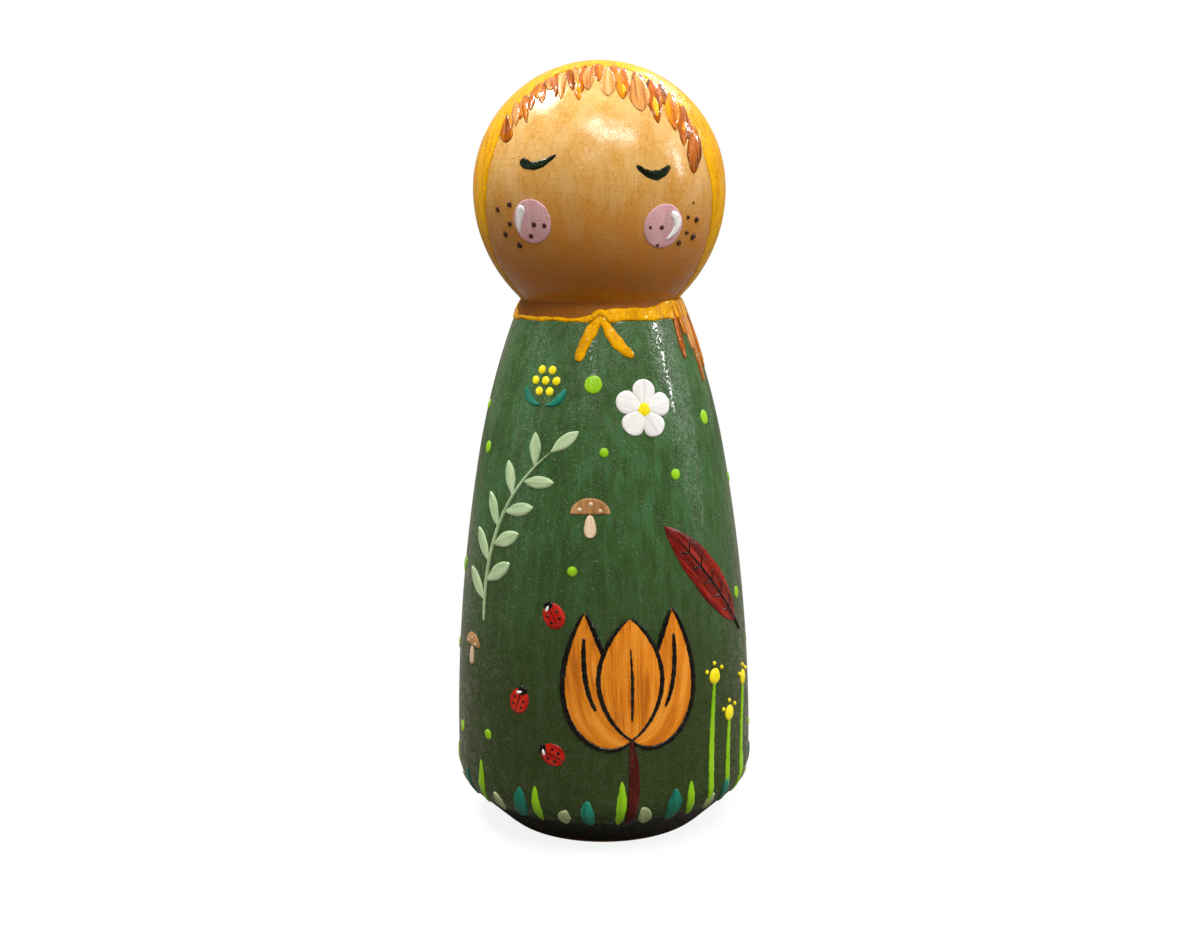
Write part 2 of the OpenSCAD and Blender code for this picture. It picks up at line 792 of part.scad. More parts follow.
// Blades k and k + 3 of every six have one colour
module blades(k) {
  difference() {
    intersection() {
      film(coat_t, coat_t + dab_t, base_coat_h, base_coat_h + blade_h + overrun);
      for (i = [k : 3 : blade_count - 1]) {
        b = blade_shares[i % 6];
        l = b[0] * blade_h;
        on_dress((i + 0.5) * 360 / blade_count, base_coat_h) rotate(-b[2])
          brushed([[0, 0], [b[3] * blade_h, l / 2], [0, l]], b[1] * blade_w, 0.42, 0.55);
      }
    }
    for (i = [1 : pattern_count]) rotate([0, 0, i * 360 / pattern_count]) {
      tulip_stem_stroke();
      tuft_stem_strokes();
    }
  }
}

module border_lime() {
  color("#6f9a1c") blades(0);
}

module border_teal() {
  color("#1c5c46") blades(2);
}

module border_sage() {
  color("#8a9a6a") blades(1);
}

turned_peg();
base_coat();
dress_coat();
hood_coat();
neck_band();
neck_knot();
left_tie_end();
right_tie_end();
left_eyelid();
right_eyelid();
left_cheek();
right_cheek();
left_cheek_highlight();
right_cheek_highlight();
left_freckles();
right_freckles();
fringe_brown();
fringe_tan();
fringe_orange();
hair_lock_brown();
hair_lock_tan();
tulip_petals();
tulip_lines();
tulip_stem();
feather_vane();
feather_shaft();
sprig_leaves();
sprig_stem();
blossom_petals();
blossom_centre();
dot_flower();
dot_flower_leaves();
toadstool_caps();
toadstool_stalks();
ladybird_wings();
ladybird_marks();
ladybird_highlights();
tuft_stems();
round_tufts();
lime_dots();
border_lime();
border_teal();
border_sage();
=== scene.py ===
"""Looks of a painted peg doll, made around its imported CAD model.

The wood is one smooth turning. Each coat and each group of brush dabs is a closed skin of paint of its
own, laid on what it was painted on. Lengths are millimetres up to the moment a mesh is made, and the
doll faces -Y, so azimuths turn from the front towards +X.
"""

import logging
import math
from dataclasses import dataclass, field
from enum import Enum
from functools import reduce
from typing import Callable, Iterable, Optional, Protocol, Sequence

import bmesh
import bpy
import numpy as np
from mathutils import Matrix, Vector
from mathutils.geometry import delaunay_2d_cdt


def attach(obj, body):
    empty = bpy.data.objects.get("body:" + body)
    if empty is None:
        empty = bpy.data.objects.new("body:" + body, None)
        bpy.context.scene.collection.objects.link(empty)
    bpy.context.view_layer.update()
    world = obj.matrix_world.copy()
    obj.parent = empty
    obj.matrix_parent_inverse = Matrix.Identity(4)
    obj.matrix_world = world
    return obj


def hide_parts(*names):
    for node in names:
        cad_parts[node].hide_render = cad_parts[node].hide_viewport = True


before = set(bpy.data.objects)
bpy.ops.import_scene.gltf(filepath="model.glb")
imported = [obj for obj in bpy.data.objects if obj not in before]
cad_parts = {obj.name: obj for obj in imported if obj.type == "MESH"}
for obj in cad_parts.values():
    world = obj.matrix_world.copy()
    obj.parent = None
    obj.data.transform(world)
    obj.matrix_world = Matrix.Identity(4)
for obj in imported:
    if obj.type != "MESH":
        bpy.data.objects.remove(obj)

MM = 0.001
BODY = "root"
SAME_HEIGHT = 1e-7
SHORTEST = 1e-9
STEEPEST = 1e-12
log = logging.getLogger("peg_doll")

Point = tuple[float, float]
Point3 = tuple[float, float, float]
Colour = tuple[float, float, float, float]
Array = np.ndarray
Tree = bpy.types.NodeTree
Plugged = bpy.types.NodeSocket
Rows = tuple[tuple[float, ...], ...]
Steps = tuple[float, int, int]

WHITE: Colour = (1.0, 1.0, 1.0, 1.0)


class Ground(Enum):
    """What a dab of paint is laid on, as the thickness of paint that lies under it."""

    WOOD = 0.0
    COAT = 0.07


class Side(Enum):
    """The two sides of a figure that is drawn alike on both."""

    LEFT = -1.0
    RIGHT = 1.0


def unit(angle: float) -> Array:
    """The flat unit vector at an angle in degrees."""
    a = math.radians(angle)
    return np.array([math.cos(a), math.sin(a)])


def polar(radius: Array | float, around: Array) -> Array:
    """Flat points at a distance or distances from the middle, at some angles in radians."""
    return np.stack([radius * np.cos(around), radius * np.sin(around)], axis=1)


def heading(v: Array) -> float:
    """The angle in degrees of a flat vector."""
    return math.degrees(math.atan2(v[1], v[0]))


def distances(path: Array) -> Array:
    """How far each point of a path lies from its first one, along the path."""
    return np.append(0.0, np.cumsum(np.hypot(*np.diff(path, axis=0).T)))


def steps(length: float, step: float, least: int, most: int) -> int:
    """How many steps of about the given size cover a length, within limits."""
    return int(np.clip(math.ceil(length / step), least, most))


def arc_points(centre: Array, radius: float, start: float, end: float, step: float) -> Array:
    """Points along an arc.

    Args:
        centre: Middle of the circle.
        radius: Radius of the circle.
        start: First angle in degrees.
        end: Last angle in degrees.
        step: Greatest distance between two points.

    Returns:
        One row for each point.
    """
    count = max(2, math.ceil(math.radians(abs(end - start)) * radius / step))
    return np.array([centre + radius * unit(a) for a in np.linspace(start, end, count + 1)])


def circles_meet(c1: Array, r1: float, c2: Array, r2: float) -> Array:
    """The right-hand meeting point of two circles.

    Args:
        c1: Middle of the first circle.
        r1: Its radius.
        c2: Middle of the second circle.
        r2: Its radius.

    Returns:
        The point.
    """
    d = c2 - c1
    length = float(np.hypot(*d))
    a = (r1 * r1 - r2 * r2 + length * length) / (2 * length)
    h = math.sqrt(r1 * r1 - a * a)
    return c1 + a * d / length + h * np.array([d[1], -d[0]]) / length


@dataclass
class Turning:
    """The turned outline of the peg: a chain of tangent arcs from the foot to the crown."""

    height: float = 90.0
    body_d: float = 35.7
    foot_d: float = 24.4
    bevel_h: float = 5.4
    edge_round: float = 4.2
    belly_z: float = 8.0
    neck_d: float = 18.6
    neck_round: float = 0.6
    head_d: float = 29.3
    chin_curve_r: float = 17.0
    shoulder_share: Point = (0.612, 0.673)
    grain: float = 0.05
    head_z: float = field(init=False)
    waist_z: float = field(init=False)
    z: Array = field(init=False)
    r: Array = field(init=False)
    slope: Array = field(init=False)
    run: Array = field(init=False)

    def __post_init__(self) -> None:
        """Works out the arcs and the tables that the lookups read."""
        body_r, foot_r, head_r = self.body_d / 2, self.foot_d / 2, self.head_d / 2
        self.head_z = self.height - head_r
        chin_c = np.array([head_r - self.chin_curve_r, self.head_z])
        neck_r = self.neck_d / 2
        neck = np.array([neck_r, self.head_z - math.sqrt(self.chin_curve_r**2 - (neck_r - chin_c[0]) ** 2)])
        belly = np.array([body_r, self.belly_z])
        share = self.shoulder_share
        shoulder = np.array([neck_r + share[0] * (body_r - neck_r), belly[1] + share[1] * (neck[1] - belly[1])])
        belly_r = self.arc_radius(belly, np.array([1.0, 0.0]), shoulder)
        belly_c = belly - np.array([belly_r, 0.0])
        shoulder_a = heading(shoulder - belly_c)
        shoulder_r = self.arc_radius(shoulder, unit(shoulder_a), neck)
        shoulder_c = shoulder - shoulder_r * unit(shoulder_a)
        groove_c = circles_meet(
            shoulder_c, shoulder_r + self.neck_round, chin_c, self.chin_curve_r + self.neck_round
        )
        self.waist_z = float(groove_c[1])
        bevel_a = math.degrees(math.atan2(self.bevel_h, body_r - foot_r))
        away, along = unit(bevel_a - 90), unit(bevel_a)
        base = np.array([foot_r, 0.0]) - self.edge_round * away - belly_c
        back = float(base @ along)
        reach = belly_r - self.edge_round
        edge_c = belly_c + base + along * (math.sqrt(back * back - base @ base + reach * reach) - back)
        edge_a = heading(edge_c - belly_c)
        low_a, high_a = heading(groove_c - shoulder_c), heading(groove_c - chin_c)
        self.tabulate([
            np.array([[foot_r, 0.0]]),
            arc_points(edge_c, self.edge_round, bevel_a - 90, edge_a, self.grain),
            arc_points(belly_c, belly_r, edge_a, shoulder_a, self.grain),
            arc_points(shoulder_c, shoulder_r, shoulder_a, low_a, self.grain),
            arc_points(groove_c, self.neck_round, low_a + 180, high_a + 180, self.grain),
            arc_points(chin_c, self.chin_curve_r, high_a, 0, self.grain),
            arc_points(np.array([0.0, self.head_z]), head_r, 0, 90, self.grain),
        ])

    @staticmethod
    def arc_radius(start: Array, out: Array, end: Array) -> float:
        """Radius of the arc that leaves start square to the direction out and passes through end."""
        return float((end - start) @ (end - start) / (2 * ((start - end) @ out)))

    def tabulate(self, arcs: Sequence[Array]) -> None:
        """Joins the arcs and keeps height, radius, slope and the run of the outline from the crown down.

        Args:
            arcs: Points of each arc from the foot up, as radius and height.
        """
        points = np.vstack(arcs)
        points = points[np.append(True, np.diff(points[:, 1]) > SAME_HEIGHT)]
        self.r, self.z = points[:, 0], points[:, 1]
        step = np.gradient(points, axis=0)
        self.slope = np.degrees(np.arctan2(-step[:, 0], step[:, 1]))
        lengths = distances(points)
        self.run = lengths[-1] - lengths

    def radius(self, z: Array) -> Array:
        """Radius of the bare wood at each height."""
        return np.interp(z, self.z, self.r)

    def lift(self, points: Array, height: Array) -> Array:
        """Moves points of the wood's surface out along its normal.

        Args:
            points: One row for each point on the surface.
            height: How far each point moves.

        Returns:
            The moved points.
        """
        tilt = np.radians(np.interp(points[:, 2], self.z, self.slope))
        around = np.arctan2(points[:, 1], points[:, 0])
        normal = np.stack([np.cos(tilt) * np.cos(around), np.cos(tilt) * np.sin(around), np.sin(tilt)], axis=1)
        return points + normal * np.asarray(height)[:, None]


class Chart(Protocol):
    """A flat drawing sheet that can be laid on the turned surface."""

    def lay(self, flat: Array, height: Array) -> Array:
        """Carries flat points to the surface and out by a height."""


@dataclass(frozen=True)
class FacingSheet:
    """A flat sheet that is carried straight out to the surface, as the CAD's prisms are."""

    turning: Turning
    azimuth: float
    level: float
    elevation: float = 0.0
    turn: float = 0.0
    halvings: int = 34

    def lay(self, flat: Array, height: Array) -> Array:
        """Carries flat points out to the surface, which is found by halving the way out again and again.

        Args:
            flat: One row for each point, across and up.
            height: Height of each point over the wood.

        Returns:
            One row for each point in space.
        """
        c, s = unit(self.turn)
        across, up = flat[:, 0] * c - flat[:, 1] * s, flat[:, 0] * s + flat[:, 1] * c
        ca, sa = unit(self.azimuth)
        ce, se = unit(self.elevation)
        right = np.array([ca, sa, 0.0])
        out = np.array([ce * sa, -ce * ca, se])
        rise = np.array([-se * sa, se * ca, ce])
        start = np.array([0.0, 0.0, self.level]) + across[:, None] * right + up[:, None] * rise
        low, high = np.zeros(len(flat)), np.full(len(flat), self.turning.body_d)
        for _ in range(self.halvings):
            middle = (low + high) / 2
            p = start + middle[:, None] * out
            inside = np.hypot(p[:, 0], p[:, 1]) < self.turning.radius(p[:, 2])
            inside &= p[:, 2] < self.turning.height
            low, high = np.where(inside, middle, low), np.where(inside, high, middle)
        return self.turning.lift(start + low[:, None] * out, height)


@dataclass(frozen=True)
class CrownSheet:
    """A round sheet whose middle is the crown. Its radius is the way down the outline of the head."""

    turning: Turning

    def lay(self, flat: Array, height: Array) -> Array:
        """Carries flat points to the head.

        Args:
            flat: One row for each point.
            height: Height of each point over the wood.

        Returns:
            One row for each point in space.
        """
        z = np.interp(np.hypot(*flat.T), self.turning.run[::-1], self.turning.z[::-1])
        points = np.column_stack([polar(self.turning.radius(z), np.arctan2(flat[:, 1], flat[:, 0])), z])
        return self.turning.lift(points, height)

    def flatten(self, points: Array) -> Array:
        """Brings points of the head's surface back to the sheet."""
        run = np.interp(points[:, 2], self.turning.z, self.turning.run)
        return polar(run, np.arctan2(points[:, 1], points[:, 0]))


def srgb(code: str) -> Colour:
    """The linear colour of a six-digit code."""
    parts = (int(code[i:i + 2], 16) / 255 for i in (0, 2, 4))
    return (*(p / 12.92 if p <= 0.04045 else ((p + 0.055) / 1.055) ** 2.4 for p in parts), 1.0)


def dense(path: Array, step: float) -> Array:
    """The same path with evenly spaced points.

    Args:
        path: One row for each point.
        step: About how far apart the new points are.

    Returns:
        The new points.
    """
    lengths = distances(path)
    at = np.linspace(0, lengths[-1], max(2, math.ceil(lengths[-1] / step)) + 1)
    return np.stack([np.interp(at, lengths, path[:, k]) for k in (0, 1)], axis=1)


def bend(path: Sequence[Array], s: Array) -> Array:
    """Points of the quadratic curve over three path points, at the shares s of its course."""
    s = s[:, None]
    return (1 - s) ** 2 * path[0] + 2 * s * (1 - s) * path[1] + s**2 * path[2]


def bend_side(path: Sequence[Array], s: Array) -> Array:
    """Which way lies to the right of that curve.

    Args:
        path: The three path points.
        s: Shares of its course.

    Returns:
        A unit vector for each share.
    """
    d = (1 - s[:, None]) * (path[1] - path[0]) + s[:, None] * (path[2] - path[1])
    side = np.stack([d[:, 1], -d[:, 0]], axis=1)
    return side / np.hypot(side[:, 0], side[:, 1])[:, None]


def straight(angle: float, length: float) -> list[Array]:
    """A straight path from the origin."""
    return [np.zeros(2), unit(angle) * length / 2, unit(angle) * length]


def scaled(path: Iterable[Point], across: float, up: Optional[float] = None) -> list[Array]:
    """Path points given as shares, turned into lengths."""
    high = across if up is None else up
    return [np.array([p[0] * across, p[1] * high]) for p in path]


def moved(path: Iterable[Array], offset: Point) -> list[Array]:
    """The path moved by an offset."""
    return [np.asarray(p) + np.asarray(offset) for p in path]


def half_widths(s: Array, width: float, fat: float, blunt: float) -> Array:
    """Half the width of a brush stroke along its course.

    Args:
        s: Shares of the course.
        width: Greatest width.
        fat: Share of the course where the stroke is widest.
        blunt: 1 for pointed ends, 0.5 for round ones.

    Returns:
        Half widths, nought at both ends.
    """
    k = math.log(0.5) / math.log(fat)
    return width / 2 * np.sin(np.pi * np.clip(s, 0, 1) ** k) ** blunt


def inside(points: Array, outline: Array) -> Array:
    """Finds the points inside a closed outline.

    Args:
        points: One row for each point.
        outline: Points of the outline.

    Returns:
        True for each point that lies inside.
    """
    found = np.zeros(len(points), bool)
    for a, b in zip(outline, np.roll(outline, -1, axis=0)):
        crosses = (a[1] > points[:, 1]) != (b[1] > points[:, 1])
        rise = b[1] - a[1] if b[1] != a[1] else STEEPEST
        found ^= crosses & (points[:, 0] < a[0] + (points[:, 1] - a[1]) * (b[0] - a[0]) / rise)
    return found


def edge_distance(points: Array, outline: Array) -> Array:
    """Measures how far points lie from the nearest side of a closed outline.

    Args:
        points: One row for each point.
        outline: Points of the outline.

    Returns:
        The distance of each point.
    """
    best = np.full(len(points), np.inf)
    for a, b in zip(outline, np.roll(outline, -1, axis=0)):
        d = b - a
        t = np.clip(((points - a) @ d) / max(float(d @ d), STEEPEST), 0, 1)
        best = np.minimum(best, np.hypot(*(points - a - t[:, None] * d).T))
    return best


@dataclass
class Hand:
    """The painter's hand: seeded waves that make edges and thickness a little uneven."""

    seed: int
    rng: np.random.Generator = field(init=False)

    def __post_init__(self) -> None:
        """Starts the seeded numbers."""
        self.rng = np.random.default_rng(self.seed)

    def wave(self, at: Array, lengths: Sequence[float]) -> Array:
        """A smooth wave between about -1 and 1 along the distances at, made of the given wave lengths."""
        total = sum(np.sin(2 * np.pi * (at / w + self.rng.random())) for w in lengths)
        return total / math.sqrt(len(lengths) * 2)

    def closed_wave(self, angle: Array, counts: Sequence[int]) -> Array:
        """A smooth wave between about -1 and 1 round a full turn, made of whole numbers of waves."""
        total = sum(np.sin(n * angle + 2 * np.pi * self.rng.random()) for n in counts)
        return total / math.sqrt(len(counts) * 2)

    def tone(self) -> float:
        """How light this stroke's paint is, from 0 to 1."""
        return float(self.rng.random())


@dataclass(frozen=True)
class Fineness:
    """How fine the meshes of dabs are: a step in millimetres, with the least and the most steps."""

    across_stroke: Steps = (0.11, 6, 44)
    along_stroke: Steps = (0.2, 12, 90)
    round_spot: Steps = (0.14, 20, 96)
    into_spot: Steps = (0.09, 5, 22)
    along_line: float = 0.16
    line_blunt: float = 0.22
    seam: float = 0.01
    round_doll: int = 288
    edge_rows: tuple[float, ...] = (0.0, 0.04, 0.1, 0.18, 0.3)
    edge_reach: float = 0.2
    least_rows: int = 6
    clear_share: float = 0.4
    edge_share: float = 0.05
    same_point: float = 1e-6


@dataclass(frozen=True)
class Bristles:
    """The waves that a brush leaves.

    Ridges are lengths in millimetres, or whole numbers round a coat. The edge of a stroke waves in shares
    of its width, and that of a spot in whole numbers. Drift is how far the ridges of a stroke run aside.
    """

    stroke_edge: Point = (5, 2.2)
    stroke_ridges: Point3 = (0.45, 0.31, 0.83)
    drift: float = 0.04
    spot_edge: tuple[int, ...] = (2, 3, 5)
    spot_share: float = 0.6
    spot_ridges: Point3 = (0.5, 0.9, 0.33)
    region_ridges: Point3 = (0.9, 1.7, 2.9)
    coat_ridges: tuple[int, ...] = (17, 41, 67, 23)


FINENESS = Fineness()
BRISTLES = Bristles()


@dataclass(frozen=True)
class Body:
    """How a wet dab stands.

    It has a thickness, a rounded edge that reaches in, a crown, brush ridges and an edge that wobbles, and
    it is sunk a little way under the ground that it lies on.
    """

    thick: float
    ground: Ground = Ground.COAT
    edge: float = 0.28
    crown: float = 0.25
    ridge: float = 0.08
    wobble: float = 0.05
    under: float = 0.05

    def profile(self, depth: Array, middle: Array) -> Array:
        """Share of the full thickness.

        Args:
            depth: Distance from the dab's edge.
            middle: 1 in the middle of the dab and 0 at its edge.

        Returns:
            Shares from 0 to 1.
        """
        rim = 1 - np.clip(depth / self.edge, 0, 1)
        bead = np.sqrt(np.clip(1 - rim**2, 0, 1))
        return bead * (1 - self.crown + self.crown * middle)

    def tall(self, depth: Array, middle: Array, ridges: Array) -> Array:
        """How tall the dab stands, with the waves of its brush ridges."""
        return self.thick * self.profile(depth, middle) * (1 + self.ridge * ridges)


class Skin:
    """Gathers closed shells of paint into the mesh of one piece."""

    def __init__(self, turning: Turning, hand: Hand) -> None:
        """Starts an empty skin.

        Args:
            turning: The turning that it lies on.
            hand: The hand that paints it.
        """
        self.turning = turning
        self.hand = hand
        self.points: list[Array] = []
        self.faces: list[tuple[int, ...]] = []
        self.brush: list[Array] = []
        self.tone: list[Array] = []
        self.rim: list[Array] = []
        self.count = 0

    def shell(self, points: Array, faces: Iterable[Sequence[int]], brush: Array, rim: Array) -> None:
        """Adds one closed shell.

        Args:
            points: One row for each point in space.
            faces: Point numbers of each face, counted from this shell's first point.
            brush: Each point's place across and along the brush's way, in millimetres.
            rim: Each point's distance from the edge of the dab.
        """
        self.faces += [tuple(int(i) + self.count for i in f) for f in faces]
        offset = self.hand.rng.random(2) * 50
        self.points.append(points)
        self.brush.append(brush + offset)
        self.rim.append(rim)
        self.tone.append(np.full(len(points), self.hand.tone()))
        self.count += len(points)

    def ribbon(self, chart: Chart, centre: Array, half: Array, body: Body) -> None:
        """A stroke of paint along a centre line, with its two ends drawn to a point.

        Args:
            chart: Its sheet.
            centre: Points along the middle of the stroke, the first and last its ends.
            half: Half the width at each point.
            body: How the paint stands.
        """
        along = distances(centre)
        d = np.gradient(centre, axis=0)
        d /= np.maximum(np.hypot(d[:, 0], d[:, 1]), SHORTEST)[:, None]
        side = np.stack([d[:, 1], -d[:, 0]], axis=1)
        widest = float(half.max())
        half = half * (1 + body.wobble * self.hand.wave(along, [widest * share for share in BRISTLES.stroke_edge]))
        columns = steps(widest * 2, *FINENESS.across_stroke)
        t = -np.cos(np.pi * np.arange(columns + 1) / columns)
        rows = np.arange(1, len(centre) - 1)
        flat = centre[rows, None] + side[rows, None] * (half[rows, None] * t)[..., None]
        depth = half[rows, None] * (1 - np.abs(t))
        drift = BRISTLES.drift * along[rows, None]
        ridges = self.hand.wave(half[rows, None] * t + drift, BRISTLES.stroke_ridges)
        tall = body.tall(depth, 1 - t[None] ** 2, ridges)
        tall[:, [0, -1]] = -body.under
        flat_all = np.vstack([flat.reshape(-1, 2), centre[[0, -1]]])
        level_all = body.ground.value + np.append(tall.ravel(), [-body.under] * 2)
        points = chart.lay(flat_all, level_all)
        u = np.append((half[rows, None] * t).ravel(), [0.0, 0.0])
        v = np.append(np.repeat(along[rows], columns + 1), along[[0, -1]])
        rim = np.append(depth.ravel(), [0.0, 0.0])
        n = columns + 1
        first, last = len(rows) * n, len(rows) * n + 1
        faces: list[tuple[int, ...]] = []
        for i in range(len(rows) - 1):
            a, b = i * n, (i + 1) * n
            faces += [(a + j, a + j + 1, b + j + 1, b + j) for j in range(columns)]
            faces.append((a, b, b + columns, a + columns))
        top = (len(rows) - 1) * n
        faces += [(first, j + 1, j) for j in range(columns)]
        faces.append((first, 0, columns))
        faces += [(last, top + j, top + j + 1) for j in range(columns)]
        faces.append((last, top + columns, top))
        self.shell(points, faces, np.stack([u, v], axis=1), rim)

    def stroke(
        self, chart: Chart, path: Sequence[Array], width: float, fat: float = 0.5, blunt: float = 0.5, *, body: Body
    ) -> None:
        """One touch of the brush along a curve.

        Args:
            chart: Its sheet.
            path: Three points of the curve.
            width: Its greatest width.
            fat: Share of its course where it is widest.
            blunt: 1 for pointed ends, less for round ones.
            body: How the paint stands.
        """
        length = float(np.hypot(*np.diff(bend(path, np.linspace(0, 1, 9)), axis=0).T).sum())
        rows = steps(length, *FINENESS.along_stroke)
        s = (1 - np.cos(np.pi * np.arange(rows + 1) / rows)) / 2
        self.ribbon(chart, bend(path, s), half_widths(s, width, fat, blunt), body)

    def line(self, chart: Chart, course: Array, width: float, body: Body) -> None:
        """A drawn line of nearly even width, with round ends.

        Args:
            chart: Its sheet.
            course: Points along its middle.
            width: Its greatest width.
            body: How the paint stands.
        """
        centre = dense(course, FINENESS.along_line)
        s = np.linspace(0, 1, len(centre))
        self.ribbon(chart, centre, half_widths(s, width, 0.5, FINENESS.line_blunt), body)

    def spot(
        self, chart: Chart, centre: Point, across: float, up: Optional[float] = None, *, body: Body
    ) -> None:
        """A round or oval touch of paint.

        Args:
            chart: Its sheet.
            centre: Its middle.
            across: Its width.
            up: Its height, the same as its width if left out.
            body: How the paint stands.
        """
        high = across if up is None else up
        least = min(across, high) / 2
        segments = steps(np.pi * max(across, high), *FINENESS.round_spot)
        rings = steps(least, *FINENESS.into_spot)
        angle = 2 * np.pi * np.arange(segments) / segments
        share = np.sin(np.pi / 2 * np.arange(1, rings + 1) / rings)
        reach = 1 + body.wobble * self.hand.closed_wave(angle, BRISTLES.spot_edge) * BRISTLES.spot_share
        local = np.stack([np.outer(share, np.cos(angle) * reach) * across / 2,
                          np.outer(share, np.sin(angle) * reach) * high / 2], axis=-1)
        depth = np.repeat(((1 - share) * least)[:, None], segments, axis=1)
        ridges = self.hand.wave(local[..., 0], BRISTLES.spot_ridges)
        tall = body.tall(depth, 1 - share[:, None] ** 2, ridges)
        tall[-1] = -body.under
        top = body.thick * float(body.profile(np.array([least]), np.array([1.0]))[0])
        brush = np.vstack([local.reshape(-1, 2), np.zeros((2, 2))])
        level = body.ground.value + np.append(tall.ravel(), [top, -body.under - FINENESS.seam * 2])
        points = chart.lay(brush + np.asarray(centre), level)
        middle, below = rings * segments, rings * segments + 1
        faces: list[tuple[int, ...]] = []
        for j in range(segments):
            k = (j + 1) % segments
            faces.append((middle, j, k))
            faces.append((below, (rings - 1) * segments + k, (rings - 1) * segments + j))
            for i in range(rings - 1):
                a, b = i * segments, (i + 1) * segments
                faces.append((a + j, b + j, b + k, a + k))
        self.shell(points, faces, brush, np.append(depth.ravel(), [least, 0.0]))

    def region(self, chart: Chart, outline: Array, grain: float, body: Body) -> None:
        """Paint that fills any closed outline.

        A triangle with all its corners on the outline is left out, as its two sides would be one.

        Args:
            chart: Its sheet.
            outline: Points of the outline, counter-clockwise.
            grain: Distance between the points of the mesh.
            body: How the paint stands.
        """
        edge = dense(np.vstack([outline, outline[:1]]), grain)[:-1]
        low, high = edge.min(0), edge.max(0)
        rise = grain * math.sqrt(3) / 2
        xs, ys = np.arange(low[0], high[0], grain), np.arange(low[1], high[1], rise)
        grid = np.array([[x + grain / 2 * (k % 2), y] for k, y in enumerate(ys) for x in xs])
        grid = grid[inside(grid, edge)]
        grid = grid[edge_distance(grid, edge) > grain * FINENESS.clear_share]
        every = [Vector(p) for p in np.vstack([edge, grid])]
        made = delaunay_2d_cdt(every, [], [list(range(len(edge)))], 1, FINENESS.same_point)
        flat = np.array([v[:] for v in made[0]])
        depth = edge_distance(flat, edge)
        on_edge = depth < grain * FINENESS.edge_share
        depth[on_edge] = 0.0
        sheet = np.array([f for f in made[2] if not on_edge[list(f)].all()])
        used = np.unique(sheet)
        sheet = np.searchsorted(used, sheet)
        flat, depth, on_edge = flat[used], depth[used], on_edge[used]
        ridges = self.hand.wave(flat[:, 0], BRISTLES.region_ridges)
        tall = body.tall(depth, depth / float(depth.max()), ridges)
        tall[on_edge] = -body.under
        upper = chart.lay(flat, body.ground.value + tall)
        inner = np.flatnonzero(~on_edge)
        sunk = body.ground.value - body.under - FINENESS.seam
        lower = chart.lay(flat[inner], np.full(len(inner), sunk))
        below = np.arange(len(flat))
        below[inner] = len(flat) + np.arange(len(inner))
        faces = [tuple(f) for f in sheet]
        faces += [tuple(below[f[::-1]]) for f in sheet]
        brush = np.vstack([flat, flat[inner]])
        self.shell(np.vstack([upper, lower]), faces, brush, np.append(depth, depth[inner]))

    def sleeve(
        self, low: Callable[[Array], Array], high: Callable[[Array], Array], body: Body, grain: float = 0.4
    ) -> None:
        """A coat that goes all the way round the turning, between two uneven edges.

        Args:
            low: Height of the lower edge at each azimuth in radians.
            high: Height of the upper edge at each azimuth in radians.
            body: How the paint stands.
            grain: Distance between rows away from the edges.
        """
        columns = FINENESS.round_doll
        around = 2 * np.pi * np.arange(columns) / columns - np.pi
        bottom, top = low(around), high(around)
        span = float((top - bottom).max())
        rows = max(FINENESS.least_rows, math.ceil(span / grain))
        near = np.array(FINENESS.edge_rows) / span
        near = near[near < FINENESS.edge_reach]
        s = np.concatenate([near, np.linspace(near[-1], 1 - near[-1], rows)[1:-1], 1 - near[::-1]])
        z = bottom[None] + (top - bottom)[None] * s[:, None]
        depth = np.minimum(z - bottom[None], top[None] - z)
        ridges = self.hand.closed_wave(around, BRISTLES.coat_ridges)[None] + np.zeros_like(z)
        tall = body.tall(depth, np.ones_like(depth), ridges)
        tall[[0, -1]] = -body.under
        r = self.turning.radius(z.ravel())
        angle = np.broadcast_to(around[None], z.shape).ravel()
        base = np.stack([r * np.sin(angle), -r * np.cos(angle), z.ravel()], axis=1)
        outer = self.turning.lift(base, tall.ravel())
        rows = len(s)
        inner = slice(columns, -columns)
        back = np.arange(rows * columns)
        sunk = np.full(len(back[inner]), -body.under - FINENESS.seam)
        lower = self.turning.lift(base[inner], sunk)
        back[inner] = rows * columns + np.arange(len(sunk))
        faces: list[tuple[int, ...]] = []
        for i in range(rows - 1):
            for j in range(columns):
                k = (j + 1) % columns
                quad = (i * columns + j, i * columns + k, (i + 1) * columns + k, (i + 1) * columns + j)
                faces.append(quad)
                faces.append(tuple(int(back[q]) for q in reversed(quad)))
        brush = np.stack([angle * r, z.ravel()], axis=1)
        self.shell(
            np.vstack([outer, lower]), faces, np.vstack([brush, brush[inner]]),
            np.append(depth.ravel(), depth.ravel()[inner]),
        )

